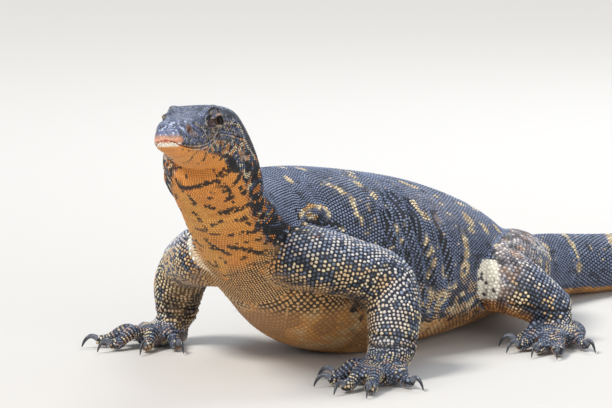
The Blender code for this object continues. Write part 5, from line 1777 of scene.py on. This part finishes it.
class MONITOR_OT_eyes(bpy.types.Operator):
    """Eyeballs with pupil and iris, and the folded lids round them."""

    bl_idname = "monitor.eyes"
    bl_label = "Eyes"

    def execute(self, context):
        grid, *_ = head_skin_grid(cratered=False, rows=150, over=130, below=70)
        points, faces = closed_tube(grid)
        tree = BVHTree.FromPolygons(points.tolist(), outward(points, faces).tolist())
        for side, word in ((1, "left"), (-1, "right")):
            self.eyeball(side, word)
            self.lids(side, word, tree)
        return {"FINISHED"}

    def eyeball(self, side, word):
        """A sphere about the outward axis: centre + R (sin a cos b, cos a, sin a sin b)."""
        a = math.pi * np.linspace(0, 1, 61) ** 1.35
        a[0], a[-1] = 0.02, math.pi - 0.02
        ring, turn = np.meshgrid(a, np.linspace(0, 2 * math.pi, 64, endpoint=False), indexing="ij")
        local = np.stack([np.sin(ring) * np.cos(turn), np.cos(ring), np.sin(ring) * np.sin(turn)], -1)
        grid = eye_centre(side) + local * EYE_RADIUS @ eye_axes(side).T
        flat, turn = ring.ravel(), turn.ravel()
        edge = EYE_RADIUS * np.sin(flat)
        streaks = noise(np.stack([np.cos(turn), np.sin(turn), flat * 0.3], 1), 0.09, 61)
        colour = painted(
            "iris",
            ("#241208", 0.6 * streaks),
            ("#a87434", bell((edge - 0.0033) / 0.00025) * 0.4),
            (np.array([0.002, 0.002, 0.002]), step(0.0032, 0.0029, edge) * (flat < 1.5)),
            ("#120b07", step(0.0044, 0.0052, edge)),
        )
        uvs = np.stack([flat / math.pi, turn / 6.3], 1)
        tube_piece(f"eyeball_{word}", grid, colour, uvs, "eye", (f"eye_{word}",))

    def lids(self, side, word, tree):
        """A ring of skin whose profile runs from under the rim, over the eyeball, into the head.

        Round the eye by b, the rim is at (L cos b, H sin b); out from it the height over the
        eye's centre blends from the eyeball's sphere to the head, with fine folds.
        """
        axes, centre = eye_axes(side), eye_centre(side)
        out, shell, skin_share, lift = (np.array(row)[:, None] for row in zip(*LID_PROFILE))
        b = np.linspace(0, 2 * math.pi, LID_COLUMNS, endpoint=False)
        rise = np.where(np.sin(b) > 0, LID_OPENING[1], LID_OPENING[2])
        across = LID_OPENING[0] * np.cos(b) * (1 - 0.10 * np.abs(np.cos(b)) ** 6)
        rim = np.stack([across, rise * np.sign(np.sin(b)) * np.abs(np.sin(b)) ** 1.15], 1)
        flat = rim[None] + unit(rim + 1e-9)[None] * out[..., None]
        reach = norm(flat)
        ball = np.sqrt(np.maximum((EYE_RADIUS + shell) ** 2 - reach**2, 0.0))
        ball = ball * np.where(reach > EYE_RADIUS, 0.9, 1.0)
        folds = 0.00022 * np.sin(out / 0.0011 * 2 * math.pi) * (out > 0.0012) * (1 - skin_share * 0.5)
        world = centre + flat[..., :1] * axes[:, 0] + flat[..., 1:] * axes[:, 2]
        head = np.empty(reach.shape)
        for index in np.ndindex(reach.shape):
            hit = tree.ray_cast(Vector(world[index] + axes[:, 1] * 0.03), Vector(-axes[:, 1]))[0]
            head[index] = 0.004 if hit is None else (np.array(hit) - centre) @ axes[:, 1]
        height = ball * (1 - skin_share) + (head + lift) * skin_share + folds
        height[-1] = ball[0] - 0.003
        height[-2] = head[-2] - 0.004
        grid = world + height[..., None] * axes[:, 1]
        rows = len(out)
        tris = halves(grid_faces(rows + 1, LID_COLUMNS) % (rows * LID_COLUMNS))
        points = grid.reshape(-1, 3)
        inner = np.repeat((out[:, 0] < 0.00045) * 0.85, LID_COLUMNS)
        colour = mix(self.lid_colour(points, centre, axes) * 0.55, "#0d0a09", inner)
        uvs = np.stack([np.repeat(np.linspace(0, 1, rows), LID_COLUMNS), np.tile(b / 6.3, rows)], 1)
        finish_piece(new_mesh(f"lids_{word}", points, outward(points, tris), colour, uvs), "skin")
        self.grains(word, grid, centre, axes)

    def grains(self, word, grid, centre, axes):
        """Small scales in rings over the lids."""
        normal, down = grid_normals(grid), np.gradient(grid, axis=0)
        normal = normal * np.sign(np.sum(normal * axes[:, 1], axis=-1, keepdims=True))
        found = []
        for r in range(4, 12):
            pick = np.arange(r % 2, LID_COLUMNS, 2)
            wide = norm(grid[r, (pick + 2) % LID_COLUMNS] - grid[r, pick])
            half = np.stack([np.full(len(pick), 0.00040), wide * 0.46], 1)
            found.append((grid[r, pick], unit(down[r, pick]), normal[r, pick], half))
        columns = [np.concatenate(column) for column in zip(*found)]
        tint = self.lid_colour(columns[0], centre, axes)
        uvs = 0.5 + 30 * ((columns[0] - centre) @ axes)[:, [0, 2]]
        tall = np.full(len(tint), 0.00045)
        scales(f"scales_lids_{word}", *columns, tall, tint, tint * 0.3, uvs, 0.75, 65, 0.0)

    def lid_colour(self, points, centre, axes):
        """Rust at the front corner, a painted pinkish cream highlight over the eye, slate and black behind
        and below.
        """
        x, _, z = ((points - centre) @ axes * 1000).T
        ring = np.hypot(x * 0.62, z - 0.2)
        rust = step(4.5, 7.0, x) * step(3.0, 1.0, np.abs(z + 0.3))
        rust = rust * step(0.40, 0.6, noise(points, 0.0013, 66))
        # painted highlight: pinkish cream on the upper lid over the eye
        lid_highlight = bell((ring - 4.6) / 0.8) * step(0.5, 2.5, z) * step(5.0, 2.0, np.abs(x + 1.0))
        return painted(
            "#4d587a",
            ("#121318", step(0.42, 0.52, noise(points, 0.0019, 62))),
            ("#c6b296", step(0.56, 0.66, noise(points, 0.0016, 63)) * 0.75),
            ("#94562b", rust * 0.7),
            ("#d9ab90", lid_highlight * 0.9),
            ("#121217", bell((ring - 6.3) / 0.7) * step(1.0, 3.0, z) * 0.9),
        )


# Claws

class MONITOR_OT_claws(bpy.types.Operator):
    """Claws: an oval that narrows along a hooked line to a point just over the floor."""

    bl_idname = "monitor.claws"
    bl_label = "Claws"

    def execute(self, context):
        words = {"foreleg": "hand", "hindleg": "foot"}
        for key, leg in LEGS.items():
            kind, side = key.split("_")
            for number, toe in enumerate(leg["toes"], 1):
                self.claw(f"claw_{words[kind]}_{side}_{number}", leg, toe)
        return {"FINISHED"}

    def claw(self, node, leg, toe):
        path, way = toe_line(leg, toe)
        tangent = unit(path[-1] - smooth(np.linspace(0, 1, len(path)), path, [0.93])[0])
        root = path[-1] - tangent * 0.0012
        share = np.linspace(0, 1, 26)
        drop = root[2] - CLAW_LIFT - 0.0004
        ahead = (CLAW_LENGTH * 0.74 + 0.0012) * np.sin(share * math.pi / 2 * 0.92)
        rise = 0.0060 * np.sin(share * math.pi) * (1 - share)
        line = root + ahead[:, None] * way + (rise - drop * share**1.9)[:, None] * UP
        thick = (TOE_TIP_RADIUS * CLAW_THICK * (1 - share) ** 0.7 + 0.00022)[:, None]
        direction = unit(np.gradient(line, axis=0))
        up = unit(UP - direction * direction[:, 2:3])
        cross = np.cross(up, direction)
        angle = np.linspace(0, 2 * math.pi, 20, endpoint=False)
        grid = line[:, None] + cross[:, None] * (thick * (np.cos(angle) * 0.70))[..., None]
        grid = grid + up[:, None] * (thick * np.sin(angle))[..., None]
        grid[..., 2] = np.maximum(grid[..., 2], 0.0003)
        spot = np.repeat(share, len(angle))
        streak = noise(grid.reshape(-1, 3), 0.0011, 71)
        colour = mix("#757a87", "horn", step(0.0, 0.65, spot + 0.5 * (streak - 0.5)))
        uvs = np.stack([spot, np.tile(angle / 6.3, len(share))], 1)
        tube_piece(node + "_horn", grid, colour, uvs, "horn", (node,))


# Floor, lights and camera

CAMERA_REACH = 2.6
SENSOR_WIDTH = 36                     # millimetres
PICTURE_WIDTH, FOCAL_PIXELS = 612, 3250       # of the photograph, in pixels
CAMERA_FOCAL = FOCAL_PIXELS * SENSOR_WIDTH / PICTURE_WIDTH
CAMERA_SIDE = math.radians(38)        # how far to the animal's left of dead ahead
CAMERA_RISE = 0.507
LOOK_FROM = np.array([0.030, 0.082, 0.0])
LOOK_SLOPE = (385 - 204) / FOCAL_PIXELS       # tangent from the picture's middle line down to LOOK_FROM
FLOOR_HALF = 30.0


class MONITOR_OT_stage(bpy.types.Operator):
    """Pale floor, soft lights from above and from both sides, and the camera of the photograph."""

    bl_idname = "monitor.stage"
    bl_label = "Stage"

    def execute(self, context):
        toward = np.array([math.cos(CAMERA_SIDE), math.sin(CAMERA_SIDE), 0.0])
        self.camera(context.scene, toward)
        self.floor()
        self.lights(toward)
        world = bpy.data.worlds.new("studio")
        world.use_nodes = True
        sky = world.node_tree.nodes["Background"]
        sky.inputs["Color"].default_value = (0.80, 0.86, 0.95, 1)
        sky.inputs["Strength"].default_value = 0.62
        context.scene.world = world
        context.scene.view_settings.view_transform = "Standard"
        return {"FINISHED"}

    def camera(self, scene, toward):
        lens = bpy.data.cameras.new("camera")
        lens.lens, lens.sensor_width = CAMERA_FOCAL, SENSOR_WIDTH
        lens.clip_start, lens.clip_end = 0.05, 100
        pitch = math.atan(CAMERA_RISE / CAMERA_REACH) - math.atan(LOOK_SLOPE)
        view = -toward * math.cos(pitch) - UP * math.sin(pitch)
        scene.camera = placed("camera", lens)
        scene.camera.location = LOOK_FROM + toward * CAMERA_REACH + UP * CAMERA_RISE - OFFSET
        scene.camera.rotation_euler = Vector(view).to_track_quat("-Z", "Y").to_euler()

    def floor(self):
        mesh = bpy.data.meshes.new("floor")
        corners = [(x * FLOOR_HALF, y * FLOOR_HALF, 0) for x, y in ((-1, -1), (1, -1), (1, 1), (-1, 1))]
        mesh.from_pydata(corners, [], [(0, 1, 2, 3)])
        paint = bpy.data.materials.new("pale floor")
        paint.use_nodes = True
        shader = paint.node_tree.nodes["Principled BSDF"]
        shader.inputs["Base Color"].default_value = (0.62, 0.60, 0.57, 1)
        shader.inputs["Roughness"].default_value = 0.9
        mesh.materials.append(paint)
        placed("floor", mesh)

    def lights(self, toward):
        right = np.array([-toward[1], toward[0], 0.0])
        middle = np.array([-0.10, 0.05, 0.10]) - OFFSET
        # name, kind, way to the light, its width in degrees or metres, power, colour
        lights = (
            ("key", "SUN", toward * 0.45 - right * 0.80 + UP * 1.25, 20, 2.9, (1.0, 0.97, 0.92)),
            ("fill", "AREA", toward * 2.4 + right * 1.2 + UP * 0.75, 1.6, 24, (1.0, 0.95, 0.88)),
            ("back", "AREA", -toward * 1.8 + right * 0.8 + UP * 2.0, 1.2, 26, (0.86, 0.92, 1.0)),
        )
        for name, kind, away, width, power, tint in lights:
            lamp = bpy.data.lights.new(name, kind)
            lamp.energy, lamp.color = power, tint
            if kind == "SUN":
                lamp.angle = math.radians(width)
            else:
                lamp.shape, lamp.size = "DISK", width
            holder = placed(name, lamp)
            holder.location = middle + away
            holder.rotation_euler = Vector(away).to_track_quat("Z", "Y").to_euler()


class MONITOR_PT_panel(bpy.types.Panel):
    """Sizes and build steps of the lizard."""

    bl_label = "Water monitor"
    bl_idname = "MONITOR_PT_panel"
    bl_space_type = "VIEW_3D"
    bl_region_type = "UI"
    bl_category = "Monitor"

    def draw(self, context):
        layout = self.layout
        sizes = context.scene.monitor
        for name in MonitorSizes.__annotations__:
            layout.prop(sizes, name)
        for name in MonitorColours.__annotations__:
            layout.prop(context.scene.monitor_colours, name)
        for name in STEPS:
            layout.operator("monitor." + name)


STEPS = ("skin", "head_scales", "trunk_scales", "tail_scales", "leg_scales", "eyes", "claws", "stage")
CLASSES = (
    MonitorSizes, MonitorColours, MONITOR_OT_skin, MONITOR_OT_head_scales, MONITOR_OT_trunk_scales,
    MONITOR_OT_tail_scales, MONITOR_OT_leg_scales, MONITOR_OT_eyes, MONITOR_OT_claws, MONITOR_OT_stage,
    MONITOR_PT_panel,
)


def register():
    for cls in CLASSES:
        bpy.utils.register_class(cls)
    bpy.types.Scene.monitor = bpy.props.PointerProperty(type=MonitorSizes)
    bpy.types.Scene.monitor_colours = bpy.props.PointerProperty(type=MonitorColours)


def unregister():
    del bpy.types.Scene.monitor
    del bpy.types.Scene.monitor_colours
    for cls in reversed(CLASSES):
        bpy.utils.unregister_class(cls)


def main():
    register()
    for name in STEPS:
        result = getattr(bpy.ops.monitor, name)()
        if result != {"FINISHED"}:
            raise RuntimeError(f"monitor.{name} did not finish")


if __name__ == "__main__":
    main()
